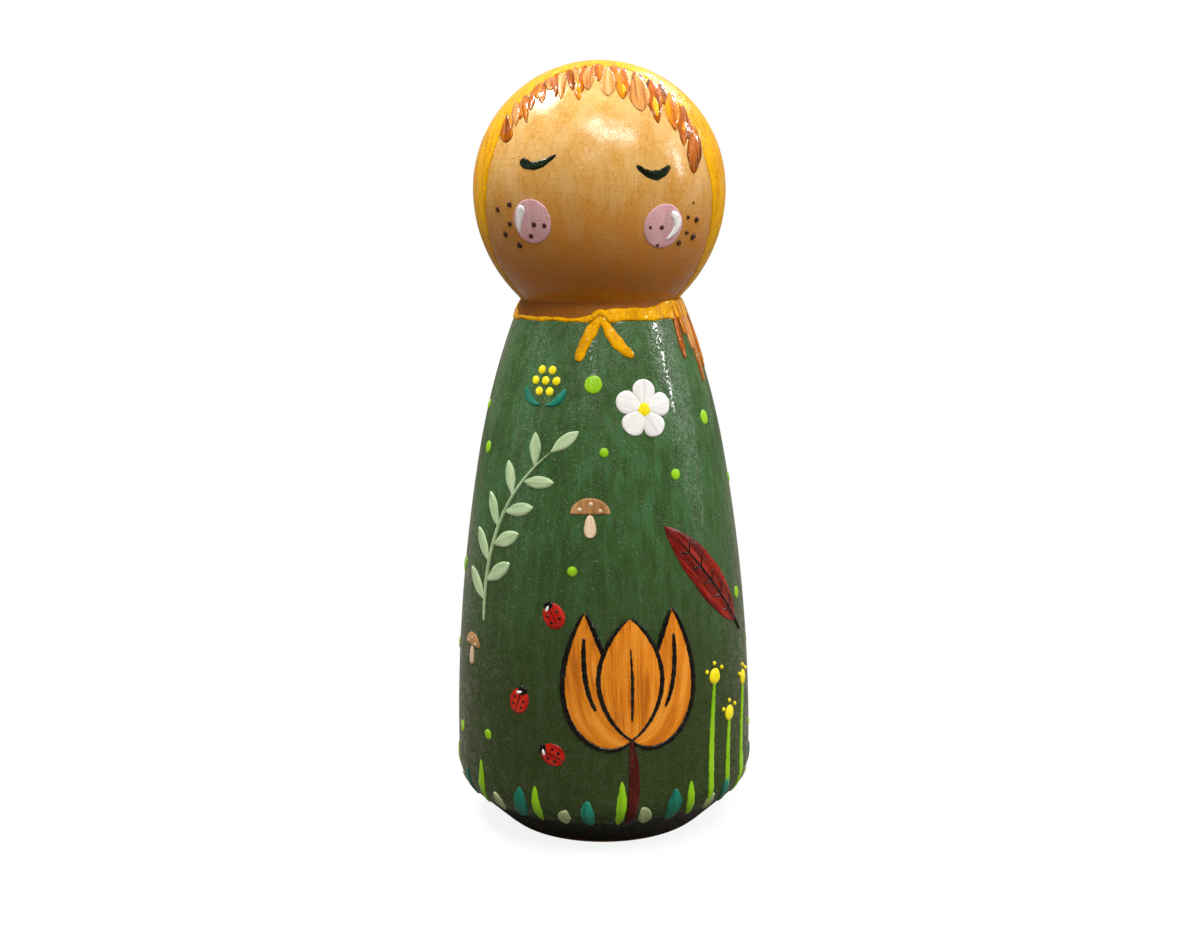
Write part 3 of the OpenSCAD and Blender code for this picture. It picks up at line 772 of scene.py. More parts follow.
    def piece(self, name: str, nodes: Sequence[str], material: bpy.types.Material) -> None:
        """Makes the Blender object and puts it in the frame, riding on the doll.

        Args:
            name: Name of the piece.
            nodes: CAD nodes that it stands for.
            material: Its finish.
        """
        mesh = bpy.data.meshes.new(name)
        mesh.from_pydata(np.vstack(self.points) * MM, [], self.faces)
        of_loop = np.zeros(len(mesh.loops), np.int64)
        mesh.loops.foreach_get("vertex_index", of_loop)
        layer = mesh.uv_layers.new(name="Brush")
        layer.data.foreach_set("uv", np.vstack(self.brush)[of_loop].astype(np.float32).ravel())
        for attribute, values in (("tone", self.tone), ("rim", self.rim)):
            made = mesh.attributes.new(attribute, "FLOAT", "POINT")
            made.data.foreach_set("value", np.concatenate(values).astype(np.float32))
        work = bmesh.new()
        work.from_mesh(mesh)
        bmesh.ops.recalc_face_normals(work, faces=work.faces)
        work.to_mesh(mesh)
        work.free()
        mesh.shade_smooth()
        mesh.materials.append(material)
        made = bpy.data.objects.new(name, mesh)
        bpy.context.scene.collection.objects.link(made)
        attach(made, BODY)
        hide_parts(*nodes)
        log.info("%s: %d faces, for %s", name, len(mesh.polygons), ", ".join(nodes))


class Wiring:
    """Adds nodes to one node tree and wires them. A value is a socket, a number or a colour."""

    def __init__(self, tree: Tree) -> None:
        """Starts on a tree."""
        self.tree = tree

    def fill(self, node: bpy.types.Node, given: dict[str | int, object]) -> None:
        """Gives a node its values. A socket is linked, and anything else is set.

        Args:
            node: The node.
            given: The values, by the names or numbers of its inputs.
        """
        for name, value in given.items():
            if isinstance(value, Plugged):
                self.tree.links.new(value, node.inputs[name])
            else:
                node.inputs[name].default_value = value

    def node(self, kind: str, given: dict[str | int, object], **settings: object) -> bpy.types.Node:
        """Adds a node.

        Args:
            kind: Type of the node.
            given: Values for its inputs.
            settings: Its own settings.

        Returns:
            The node.
        """
        node = self.tree.nodes.new(kind)
        for name, value in settings.items():
            setattr(node, name, value)
        self.fill(node, given)
        return node

    def math(self, operation: str, *values: object) -> Plugged:
        """The result of an operation on some values."""
        return self.node("ShaderNodeMath", dict(enumerate(values)), operation=operation).outputs[0]

    def times(self, first: object, second: object) -> Plugged:
        """The product of two values."""
        return self.math("MULTIPLY", first, second)

    def total(self, terms: Iterable[tuple[Plugged, float]]) -> Plugged:
        """The sum of some values, each multiplied by its weight."""
        return reduce(lambda total, term: self.math("MULTIPLY_ADD", *term, total), terms, 0.0)

    def mix(self, share: object, first: object, second: object) -> Plugged:
        """Two colours mixed by the share of the second."""
        return self.node("ShaderNodeMix", {0: share, 6: first, 7: second}, data_type="RGBA").outputs[2]

    def spread(
        self, value: Plugged, low: float, high: float, to_low: float = 0.0, to_high: float = 1.0
    ) -> Plugged:
        """A value taken from one range to another, smoothly and within the range."""
        given = dict(enumerate((value, low, high, to_low, to_high)))
        return self.node("ShaderNodeMapRange", given, interpolation_type="SMOOTHSTEP").outputs[0]

    def noise(self, vector: Plugged, scale: object, detail: float = 2.0) -> Plugged:
        """A noise value at a vector."""
        given = {"Vector": vector, "Scale": scale, "Detail": detail}
        return self.node("ShaderNodeTexNoise", given).outputs["Fac"]

    def stretched(self, vector: Plugged, scale: Point3) -> Plugged:
        """The vector with each axis multiplied."""
        return self.node("ShaderNodeVectorMath", {0: vector, 1: scale}, operation="MULTIPLY").outputs[0]

    def doll_vector(self) -> Plugged:
        """The place on the doll in millimetres."""
        return self.stretched(self.node("ShaderNodeTexCoord", {}).outputs["Object"], (1 / MM, 1 / MM, 1 / MM))

    def axes(self, vector: Plugged) -> bpy.types.NodeOutputs:
        """The axes of a vector, by their names X, Y and Z."""
        return self.node("ShaderNodeSeparateXYZ", {0: vector}).outputs

    def skin(self, heights: Iterable[tuple[Plugged, float]]) -> Plugged:
        """The normal that the weighted sum of some heights gives, in millimetres."""
        given = {"Strength": 1.0, "Distance": MM, "Height": self.total(heights)}
        return self.node("ShaderNodeBump", given).outputs["Normal"]

    def group(self, group: Tree, **given: object) -> bpy.types.NodeOutputs:
        """What a node group puts out. Its inputs are named in small letters, with _ for a space."""
        named = {name.capitalize().replace("_", " "): value for name, value in given.items()}
        return self.node("ShaderNodeGroup", named, node_tree=group).outputs

    def mix_shaders(self, share: Plugged, first: Plugged, second: Plugged, end: str) -> None:
        """Puts two shaders, mixed by the share of the second, into the surface of an end node."""
        mix = self.node("ShaderNodeMixShader", {0: share, 1: first, 2: second})
        self.fill(self.tree.nodes[end], {"Surface": mix.outputs[0]})

    def camera_ray(self) -> Plugged:
        """1 for what the camera sees itself, and 0 for the light that things send to each other."""
        return self.node("ShaderNodeLightPath", {}).outputs["Is Camera Ray"]


@dataclass(frozen=True)
class Plug:
    """One socket of a node group: its name, its kind and what it is worth while nothing is linked."""

    name: str
    kind: str = "NodeSocketFloat"
    value: Optional[float] = None


def start_group(
    name: str, inputs: Sequence[Plug], outputs: Sequence[Plug]
) -> tuple[Wiring, bpy.types.NodeOutputs, bpy.types.Node]:
    """Makes an empty node group.

    Args:
        name: Name of the group.
        inputs: What it is given.
        outputs: What it puts out.

    Returns:
        Its wiring, the sockets that give its inputs, and its end node.
    """
    group = bpy.data.node_groups.new(name, "ShaderNodeTree")
    for way, plugs in (("INPUT", inputs), ("OUTPUT", outputs)):
        for plug in plugs:
            made = group.interface.new_socket(name=plug.name, in_out=way, socket_type=plug.kind)
            if plug.value is not None:
                made.default_value = plug.value
    return Wiring(group), group.nodes.new("NodeGroupInput").outputs, group.nodes.new("NodeGroupOutput")


class StreakWay(Enum):
    """Which way the brush went: along each stroke, or up and down the whole doll."""

    STROKE = "stroke"
    UPRIGHT = "upright"


class Effects:
    """The shader node groups that several finishes share."""

    def __init__(self) -> None:
        """Builds each group once."""
        self.streaks = self.build_streaks()
        self.tones = self.build_tones()
        self.varnish = self.build_varnish()

    @staticmethod
    def build_streaks() -> Tree:
        """Streaks that bristles leave: the first axis lies across them and the second along them.

        Returns:
            The group.
        """
        wires, given, end = start_group(
            "Brush streaks", (Plug("Vector", "NodeSocketVector"), Plug("Fineness", value=1.0)),
            (Plug("Streaks"), Plug("Height")))
        vector, fineness = given["Vector"], given["Fineness"]
        broad = wires.noise(wires.stretched(vector, (1.3, 0.12, 1.3)), fineness)
        fine = wires.noise(wires.stretched(vector, (5.5, 0.3, 5.5)), fineness)
        patch = wires.noise(wires.stretched(vector, (0.25, 0.16, 0.25)), 1.0, 1.0)
        mixed = wires.total(((broad, 0.5), (fine, 0.3), (patch, 0.2)))
        tall = wires.total(((fine, 0.65), (broad, 0.35)))
        wires.fill(end, {"Streaks": wires.spread(mixed, 0.36, 0.64), "Height": tall})
        return wires.tree

    @staticmethod
    def build_tones() -> Tree:
        """Colour of paint: darker and lighter in its streaks, from stroke to stroke, and at its rim.

        Returns:
            The group.
        """
        colours = tuple(Plug(name, "NodeSocketColor") for name in ("Base", "Light", "Dark"))
        numbers = (Plug("Streaks", value=0.5), Plug("Contrast", value=0.5), Plug("Rim dark", value=0.4))
        wires, given, end = start_group("Paint tones", colours + numbers, (Plug("Color", "NodeSocketColor"),))
        tone, rim = (
            wires.node("ShaderNodeAttribute", {}, attribute_name=name).outputs["Fac"] for name in ("tone", "rim"))
        high = wires.times(wires.spread(given["Streaks"], 0.5, 1.0), given["Contrast"])
        deep = wires.times(wires.spread(given["Streaks"], 0.5, 0.0), given["Contrast"])
        high = wires.times(high, wires.math("MULTIPLY_ADD", tone, 0.7, 0.65))
        colour = wires.mix(high, given["Base"], given["Light"])
        colour = wires.mix(deep, colour, given["Dark"])
        edge = wires.times(wires.spread(rim, 0.02, 0.2, 1.0, 0.0), given["Rim dark"])
        wires.fill(end, {"Color": wires.mix(edge, colour, given["Dark"])})
        return wires.tree

    @staticmethod
    def build_varnish() -> Tree:
        """Brushed varnish: a grainy, wavy skin with pale specks in it, partly grit in the varnish and partly painted
        glints, and beads of gloss with bare paint between.

        Returns:
            The group.
        """
        wires, given, end = start_group(
            "Varnish skin",
            (Plug("Vector", "NodeSocketVector"), Plug("Gloss", value=0.25), Plug("Bareness", value=0.5)),
            (Plug("Height"), Plug("Roughness"), Plug("Dust and glints"), Plug("Beads")))
        looks = ((3.4, 2.0), (0.35, 1.0), (5.6, 0.0), (3.2, 3.0), (0.9, 1.0))
        fine, waves, specks, beads, swells = (wires.noise(given["Vector"], *look) for look in looks)
        # The grit specks bump the varnish, and the paints also paint them pale into their colour, partly as grit and
        # partly as painted glints.
        grit = wires.spread(specks, 0.66, 0.76)
        beads = wires.total(((beads, 0.7), (swells, 0.3), (given["Bareness"], -1.0)))
        wires.fill(end, {
            "Height": wires.total(((fine, 0.35), (grit, 0.5), (waves, 1.2))),
            "Roughness": wires.math("ADD", given["Gloss"], wires.spread(fine, 0.3, 0.7, -0.04, 0.08)),
            "Dust and glints": grit,
            "Beads": wires.spread(beads, 0.0, 0.05),
        })
        return wires.tree


def shader_start(name: str) -> tuple[bpy.types.Material, Wiring, bpy.types.Node]:
    """Starts a material.

    Args:
        name: Name of the material.

    Returns:
        The material, its wiring and its Principled shader.
    """
    material = bpy.data.materials.new(name)
    material.use_nodes = True
    return material, Wiring(material.node_tree), material.node_tree.nodes["Principled BSDF"]


@dataclass(frozen=True)
class Paint:
    """A brushed, varnished acrylic paint.

    Contrast and rim_dark set its streaks and its rim off from the base colour. Relief and grain are the
    heights of its streaks and its varnish in millimetres. Coat is how strongly the varnish shines in its
    beads, bareness how few they are, and level how strongly the paint shines. A paint with a low colour
    turns to it from the height low_from down to low_to; on the dress this is painted warm light reflected
    from below, darker and more olive towards the hem, and the painted glint specks fade out there too.
    """

    slot: str
    base: str
    light: str
    dark: str
    contrast: float = 0.55
    rim_dark: float = 0.35
    way: StreakWay = StreakWay.STROKE
    gloss: float = 0.25
    relief: float = 0.022
    grain: float = 0.03
    coat: float = 0.7
    level: float = 0.2
    dust_and_glints: float = 0.0
    bareness: float = 0.51
    fineness: float = 1.0
    low: Optional[str] = None
    low_from: float = 44.0
    low_to: float = 14.0
    low_share: float = 0.8
    # Colour of the pale specks, partly grit in the varnish and partly painted glints.
    dust_and_glint_colour: str = "c9cdb8"
    coat_roughness: float = 0.1

    def material(self, effects: Effects) -> bpy.types.Material:
        """Makes the Blender material.

        Args:
            effects: The shared node groups.

        Returns:
            The material.
        """
        material, wires, shader = shader_start(self.slot)
        place = wires.doll_vector()
        if self.way is StreakWay.STROKE:
            across = wires.node("ShaderNodeUVMap", {}, uv_map="Brush").outputs[0]
        else:
            given = {"Vector": place, "Angle": math.pi / 2}
            across = wires.node("ShaderNodeVectorRotate", given, rotation_type="X_AXIS").outputs[0]
        streaks = wires.group(effects.streaks, vector=across, fineness=self.fineness)
        tones = wires.group(
            effects.tones, base=srgb(self.base), light=srgb(self.light), dark=srgb(self.dark),
            streaks=streaks["Streaks"], contrast=self.contrast, rim_dark=self.rim_dark)
        varnish = wires.group(effects.varnish, vector=place, gloss=self.gloss, bareness=self.bareness)
        # Pale specks painted into the colour: partly grit in the varnish, partly painted glints.
        colour, dust_and_glint_share = tones["Color"], wires.times(varnish["Dust and glints"], self.dust_and_glints)
        # The low colour is painted warm light reflected from below, darker and more olive towards the hem; the
        # painted glint specks fade there too.
        if self.low is not None:
            share = wires.spread(wires.axes(place)["Z"], self.low_to, self.low_from, self.low_share, 0.0)
            colour = wires.mix(share, colour, srgb(self.low))
            dust_and_glint_share = wires.times(dust_and_glint_share, wires.math("SUBTRACT", 1.0, share))
        wires.fill(shader, {
            "Base Color": wires.mix(dust_and_glint_share, colour, srgb(self.dust_and_glint_colour)),
            "Roughness": varnish["Roughness"],
            "Coat Weight": wires.times(varnish["Beads"], self.coat),
            "Coat Roughness": self.coat_roughness,
            "Specular IOR Level": self.level,
            "Normal": wires.skin(((streaks["Height"], self.relief), (varnish["Height"], self.grain))),
        })
        return material


@dataclass(frozen=True)
class Marks:
    """One kind of mark in the wood: its stretch along each axis, its detail, the noise values where it
    starts and is full, and how strong it is."""

    stretch: Point3
    detail: float
    low: float
    high: float
    strength: float

    def show(self, wires: Wiring, place: Plugged) -> tuple[Plugged, Plugged]:
        """The noise of the marks, and how much they show at each place."""
        noise = wires.noise(wires.stretched(place, self.stretch), 1.0, self.detail)
        return noise, wires.times(wires.spread(noise, self.low, self.high), self.strength)


@dataclass(frozen=True)
class VarnishedWood:
    """Pale turned hardwood under thick varnish: fine upright grain, faint rings, and a chin and neck painted browner
    and darker, partly the wood's own tone and partly painted shade.
    """

    slot: str = "turned_wood"
    base: str = "d09a46"
    light: str = "d9b06a"
    dark: str = "966022"
    # The chin colour, mixed in from chin_top down to chin_bottom, is partly the wood's own browner tone and partly
    # painted shade under the head.
    chin: str = "be7010"
    neck: str = "804a0a"
    chin_top: float = 81.0
    chin_bottom: float = 64.6
    chin_share: float = 0.95
    # The neck colour below the groove is partly pooled brown varnish and partly painted shade under the head.
    neck_top: float = 63.4
    neck_bottom: float = 62.6
    neck_share: float = 0.9
    gloss: float = 0.16
    coat_roughness: float = 0.19
    level: float = 0.15
    clouds: Marks = Marks((0.42, 0.42, 0.3), 4.0, 0.34, 0.66, 1.0)
    fibres: Marks = Marks((2.6, 2.6, 0.14), 3.0, 0.45, 0.68, 0.2)
    pores: Marks = Marks((7.0, 7.0, 0.7), 1.0, 0.55, 0.75, 0.4)
    flecks: Marks = Marks((4.2, 4.2, 3.0), 1.0, 0.48, 0.68, 0.6)

    def material(self, effects: Effects) -> bpy.types.Material:
        """Makes the Blender material.

        Args:
            effects: The shared node groups.

        Returns:
            The material.
        """
        material, wires, shader = shader_start(self.slot)
        place = wires.doll_vector()
        clouds, cloudy = self.clouds.show(wires, place)
        fibres, fibrous = self.fibres.show(wires, place)
        light, dark = srgb(self.light), srgb(self.dark)
        colour = wires.mix(cloudy, srgb(self.base), light)
        colour = wires.mix(fibrous, colour, dark)
        colour = wires.mix(self.pores.show(wires, place)[1], colour, dark)
        colour = wires.mix(self.flecks.show(wires, place)[1], colour, light)
        level = wires.axes(place)["Z"]
        # Darker and browner towards the chin: partly the wood's own tone, partly painted shade.
        low = wires.spread(level, self.chin_bottom, self.chin_top, self.chin_share, 0.0)
        colour = wires.mix(low, colour, wires.mix(wires.times(clouds, 0.5), srgb(self.chin), dark))
        # Darker brown below the groove: partly pooled varnish, partly painted shade under the head.
        below = wires.spread(level, self.neck_bottom, self.neck_top, self.neck_share, 0.0)
        varnish = wires.group(effects.varnish, vector=place, gloss=self.gloss)
        bright = wires.math("MULTIPLY_ADD", varnish["Beads"], 0.6, 0.4)
        bright = wires.times(bright, wires.spread(clouds, 0.4, 0.58, 0.45, 1.0))
        given = {"Vector": place, "Scale": 0.42, "Distortion": 0.6}
        rings = wires.node("ShaderNodeTexWave", given, bands_direction="Z").outputs["Fac"]
        wires.fill(shader, {
            "Base Color": wires.mix(below, colour, srgb(self.neck)),
            "Roughness": wires.math("MULTIPLY_ADD", below, 0.4, varnish["Roughness"]),
            "Coat Weight": wires.times(bright, wires.spread(below, 0.0, self.neck_share, 1.0, 0.0)),
            "Coat Roughness": self.coat_roughness,
            "Specular IOR Level": self.level,
            "Normal": wires.skin(((fibres, 0.006), (rings, 0.004), (varnish["Height"], 0.05))),
        })
        return material


@dataclass(frozen=True)
class Palette:
    """Every finish on the doll, by its material slot."""

    wood: VarnishedWood = VarnishedWood()
    base: Paint = Paint(
        "base_black", "110f0a", "28251a", "080705", way=StreakWay.UPRIGHT, gloss=0.34, grain=0.1, dust_and_glints=0.15)
    # The dress's low colour is painted warm light reflected from below towards the hem, and its pale specks are
    # painted glints as well as grit in the varnish.
    dress: Paint = Paint(
        "dress_green", "38592f", "427048", "2a4120", contrast=0.5, way=StreakWay.UPRIGHT, rim_dark=0.2, dust_and_glints=0.16,
        relief=0.02, grain=0.14, gloss=0.18, coat=1.0, low="2c3510")
    hood: Paint = Paint(
        "hood_yellow", "dea000", "ecb208", "b07000", contrast=0.5, way=StreakWay.UPRIGHT, grain=0.12, dust_and_glints=0.03,
        gloss=0.24, coat=1.0, level=0.04, bareness=0.55)
    lid: Paint = Paint(
        "lid_dark", "0c180a", "1c3018", "050a04", contrast=0.9, gloss=0.24, grain=0.08, coat=0.6, level=0.1)
    cheek: Paint = Paint(
        "cheek_pink", "d6a4ac", "e6c2c8", "be8c96", contrast=0.4, rim_dark=0.1, relief=0.008, grain=0.08, dust_and_glints=0.4,
        fineness=0.6)
    shine: Paint = Paint("highlight_white", "e9e9ea", "ffffff", "c9c7c8", rim_dark=0.25)
    freckle: Paint = Paint("freckle_brown", "43200e", "643418", "281206")
    brown: Paint = Paint(
        "hair_brown", "a85402", "d48412", "5c2a00", contrast=1.0, rim_dark=0.55, gloss=0.3, grain=0.06, coat=1.0,
        level=0.04, bareness=0.52)
    tan: Paint = Paint(
        "hair_tan", "c48644", "d8a86c", "8a501c", contrast=0.8, rim_dark=0.4, gloss=0.2, coat=0.7, level=0.08)
    orange: Paint = Paint(
        "hair_orange", "de8400", "f4ac18", "a85602", contrast=0.9, rim_dark=0.45, gloss=0.2, coat=0.9, level=0.05)
    tulip: Paint = Paint("tulip_orange", "da8018", "ec9e38", "a4560c", contrast=0.7, rim_dark=0.3, fineness=0.9)
    ink: Paint = Paint("ink_black", "0e0b08", "221c16", "060504", gloss=0.2)
    stem: Paint = Paint("stem_maroon", "4a120e", "6e261c", "2c0806")
    feather: Paint = Paint("feather_red", "700e04", "962212", "400804", contrast=0.8)
    sprig: Paint = Paint("sprig_green", "a9c298", "c2d8b2", "86a078", contrast=0.45, rim_dark=0.4)
    blossom: Paint = Paint("blossom_white", "dededf", "efefee", "bebebc", contrast=0.45, rim_dark=0.35, coat=0.3)
    yellow: Paint = Paint("flower_yellow", "ecdc18", "f8ee50", "c0a80c", contrast=0.35, rim_dark=0.45)
    teal: Paint = Paint("leaf_teal", "10705c", "2c9a82", "084436")
    cap: Paint = Paint("cap_tan", "a87a4c", "cca274", "80582e", rim_dark=0.5)
    stalk: Paint = Paint("stalk_cream", "dcc4a4", "eedcc2", "b09470", rim_dark=0.4)
    wing: Paint = Paint("wing_red", "b41608", "d43a20", "7a0c04")
    lime: Paint = Paint("leaf_lime", "8cc418", "aadc3c", "649a0c", contrast=0.35, rim_dark=0.35)
    sage: Paint = Paint("leaf_sage", "a3b384", "bccaa0", "7a8c5c", contrast=0.4, rim_dark=0.35)


@dataclass
class Workshop:
    """What every sub-assembly needs: the turning, the finishes and the dress's place on the doll."""

    turning: Turning
    effects: Effects
    palette: Palette = Palette()
    coat_t: float = 0.07
    dab_t: float = 0.15
    line_t: float = 0.07
    base_coat_h: float = 4.1
    band_w: float = 2.0
    laps: int = 2
    made: dict[str, bpy.types.Material] = field(default_factory=dict)

    @property
    def band_z(self) -> float:
        """Height of the neck band's lower edge."""
        return self.turning.waist_z - self.band_w

    def level(self, share: float) -> float:
        """Height on the dress at a share of the way from the base coat to the neck band."""
        return self.base_coat_h + share * (self.band_z - self.base_coat_h)

    def sheet(self, azimuth: float, share: float, turn: float = 0.0) -> FacingSheet:
        """A sheet on the dress at an azimuth and a height share."""
        return FacingSheet(self.turning, azimuth, self.level(share), turn=turn)

    def sheets(self, azimuth: float, share: float, turn: float = 0.0) -> list[FacingSheet]:
        """The sheets of a figure that is repeated evenly round the dress."""
        return [self.sheet(azimuth + k * 360 / self.laps, share, turn) for k in range(self.laps)]

    def head_sheet(self, azimuth: float, elevation: float) -> FacingSheet:
        """A sheet on the head at an azimuth and an elevation over its widest ring."""
        return FacingSheet(self.turning, azimuth, self.turning.head_z, elevation)

    def finish(self, kind: Paint | VarnishedWood) -> bpy.types.Material:
        """Makes the material of a finish the first time that it is asked for.

        Args:
            kind: The finish.

        Returns:
            Its material.
        """
        if kind.slot not in self.made:
            self.made[kind.slot] = kind.material(self.effects)
        return self.made[kind.slot]

    def dab(self, extra: float = 0.0, **looks: float) -> Body:
        """How a dab stands on a coat of paint, at the usual height and a little extra."""
        return Body(self.dab_t + extra, **looks)

    def bare_dab(self, extra: float = 0.0, **looks: float) -> Body:
        """How a dab stands on bare wood, at the usual height and a little extra."""
        return Body(self.dab_t + extra, Ground.WOOD, **looks)

    def line(self) -> Body:
        """How a drawn line stands."""
        return self.dab(self.line_t, edge=0.2, crown=0.1, ridge=0.04, wobble=0.14)

    def skin(self, seed: int) -> Skin:
        """An empty skin, painted by a hand of its own."""
        return Skin(self.turning, Hand(seed))

    def put(self, skin: Skin, node: str, kind: Paint | VarnishedWood) -> None:
        """Makes a piece of a skin that stands for one CAD node."""
        skin.piece(node + "_paint", [node], self.finish(kind))


@dataclass
class WoodenPeg:
    """The bare turning: head, neck, body, rounded edge, bevel and foot."""

    shop: Workshop
    columns: int = 224
    grain: float = 0.3

    def build(self) -> None:
        """Turns the peg as one closed skin from the foot to the crown."""
        turning = self.shop.turning
        runs = np.linspace(turning.run[0], 0, math.ceil(turning.run[0] / self.grain) + 1)
        z = np.interp(runs, turning.run[::-1], turning.z[::-1])[:-1]
        r = turning.radius(z)
        around = 2 * np.pi * np.arange(self.columns) / self.columns
        angle = np.broadcast_to(around, (len(z), self.columns)).ravel()
        rr, zz = np.repeat(r, self.columns), np.repeat(z, self.columns)
        points = np.stack([rr * np.sin(angle), -rr * np.cos(angle), zz], axis=1)
        points = np.vstack([points, [[0.0, 0.0, 0.0], [0.0, 0.0, turning.height]]])
        n, last = self.columns, (len(z) - 1) * self.columns
        foot, crown = len(points) - 2, len(points) - 1
        faces: list[tuple[int, ...]] = []
        for j in range(n):
            k = (j + 1) % n
            faces += [(i * n + j, i * n + k, (i + 1) * n + k, (i + 1) * n + j) for i in range(len(z) - 1)]
            faces.append((foot, k, j))
            faces.append((crown, last + j, last + k))
        skin = self.shop.skin(1)
        brush = points[:, [0, 2]]
        skin.shell(points, faces, brush, np.ones(len(points)))
        self.shop.put(skin, "turned_peg", self.shop.palette.wood)


@dataclass
class Coats:
    """The brushed coats: dark base, green dress, yellow hood and its neck band."""

    shop: Workshop
    base_gap: float = 0.4
    overlap: float = 1.3
    face_turn: float = -0.9
    face_w: float = 25.6
    face_h: float = 33.0
    face_drop: float = 2.9
    face_limit: float = 0.93
    face_power: int = 24
    base_share: float = 0.8
    base_wave: float = 0.12
    dress_wave: float = 0.45
    collar_wave: float = 0.05
    band_t: float = 0.22
    band_drop: float = 0.1
    band_low_wave: float = 0.14
    band_high_wave: float = 0.08
    band_narrow: float = 0.42
    band_broad: float = 1.4
    band_stops: tuple[float, ...] = (-180, -98, -70, -14, 6, 34, 52, 75, 180)
    band_grain: float = 0.15
    hood_wave: float = 0.006
    hood_grain: float = 0.42
    face_points: int = 321
    back_points: int = 400

    def build(self) -> None:
        """Brushes the coats on, from the foot up."""
        self.base_coat()
        self.dress_coat()
        self.hood_coat()
        self.neck_band()

    def coat(self, share: float = 1.0) -> Body:
        """How a coat stands that has a share of the usual thickness."""
        return Body(self.shop.coat_t * share, Ground.WOOD, edge=0.16, crown=0.0, ridge=0.06, under=0.03)

    def base_coat(self) -> None:
        """The dark coat of the foot, which runs up under the dress."""
        skin = self.shop.skin(2)
        top = self.shop.base_coat_h + self.overlap
        skin.sleeve(
            lambda a: self.base_gap + self.base_wave * skin.hand.closed_wave(a, (3, 7, 11, 19)),
            lambda a: np.full_like(a, top),
            self.coat(self.base_share),
        )
        self.shop.put(skin, "base_coat", self.shop.palette.base)

    def dress_coat(self) -> None:
        """The green coat, whose lower edge waves over the dark one."""
        skin = self.shop.skin(3)
        skin.sleeve(
            lambda a: self.shop.base_coat_h + self.dress_wave * skin.hand.closed_wave(a, (2, 3, 5, 9)),
            lambda a: self.shop.band_z + self.collar_wave * skin.hand.closed_wave(a, (8, 15, 31)),
            self.coat(),
        )
        self.shop.put(skin, "dress_coat", self.shop.palette.dress)

    def band_high(self, around: Array) -> Array:
        """The band's upper edge: low left of the knot, higher right of it, and at the groove behind.

        Args:
            around: Azimuths in radians.

        Returns:
            Its height at each azimuth.
        """
        azimuth = np.degrees((around + np.pi) % (2 * np.pi) - np.pi)
        full, narrow, broad = self.shop.band_w, self.band_narrow, self.band_broad
        widths = (full, full, narrow, narrow, broad, broad, full, full, full)
        return self.shop.band_z + np.interp(azimuth, self.band_stops, widths)

    def neck_band(self) -> None:
        """The yellow band under the groove, with an uneven lower edge."""
        skin = self.shop.skin(5)
        skin.sleeve(
            lambda a: (
                self.shop.band_z - self.band_drop + self.band_low_wave * skin.hand.closed_wave(a, (5, 9, 14, 23))),
            lambda a: self.band_high(a) + self.band_high_wave * skin.hand.closed_wave(a, (7, 13, 29)),
            Body(self.band_t, Ground.WOOD, edge=0.4, crown=0.0, ridge=0.16, under=0.03), grain=self.band_grain,
        )
        self.shop.put(skin, "neck_band", self.shop.palette.hood)

    def face_edge(self, clock: Array) -> Array:
        """The oval edge of the hood, seen from the front. The hood keeps a strip of each jaw.

        Args:
            clock: Angles in degrees from the top of the oval towards +X.

        Returns:
            The point of the edge at each angle.
        """
        a = np.radians(clock)
        across, up = self.face_w / 2 * np.sin(a), self.face_h / 2 * np.cos(a)
        turning = self.shop.turning
        limit = self.face_limit * turning.radius(turning.head_z - self.face_drop + up)
        across = across / (1 + np.abs(across / limit) ** self.face_power) ** (1 / self.face_power)
        return np.stack([across, up], axis=1)

    def front_sheet(self) -> FacingSheet:
        """The sheet through the middle of the face opening."""
        turning = self.shop.turning
        return FacingSheet(turning, self.face_turn, turning.head_z - self.face_drop)

    def hood_coat(self) -> None:
        """The yellow coat over the head, open round the face down to the neck."""
        turning = self.shop.turning
        skin = self.shop.skin(4)
        crown = CrownSheet(turning)
        lowest = turning.waist_z - (turning.head_z - self.face_drop)
        end = math.degrees(math.acos(lowest / (self.face_h / 2)))
        clock = np.linspace(-end, end, self.face_points)
        edge = self.face_edge(clock)
        edge *= (1 + self.hood_wave * skin.hand.wave(clock, (37.0, 17.0, 61.0)))[:, None]
        on_head = self.front_sheet().lay(edge, np.zeros(len(edge)))
        arc = crown.flatten(on_head)
        first, last = (math.atan2(*p[::-1]) for p in (arc[0], arc[-1]))
        reach = float(np.interp(turning.waist_z, turning.z, turning.run))
        ahead = first + 2 * math.pi if first < last else first
        round_back = np.linspace(last, ahead, self.back_points)[1:-1]
        outline = np.vstack([arc, polar(reach, round_back)])
        skin.region(crown, outline, self.hood_grain, self.coat())
        self.shop.put(skin, "hood_coat", self.shop.palette.hood)


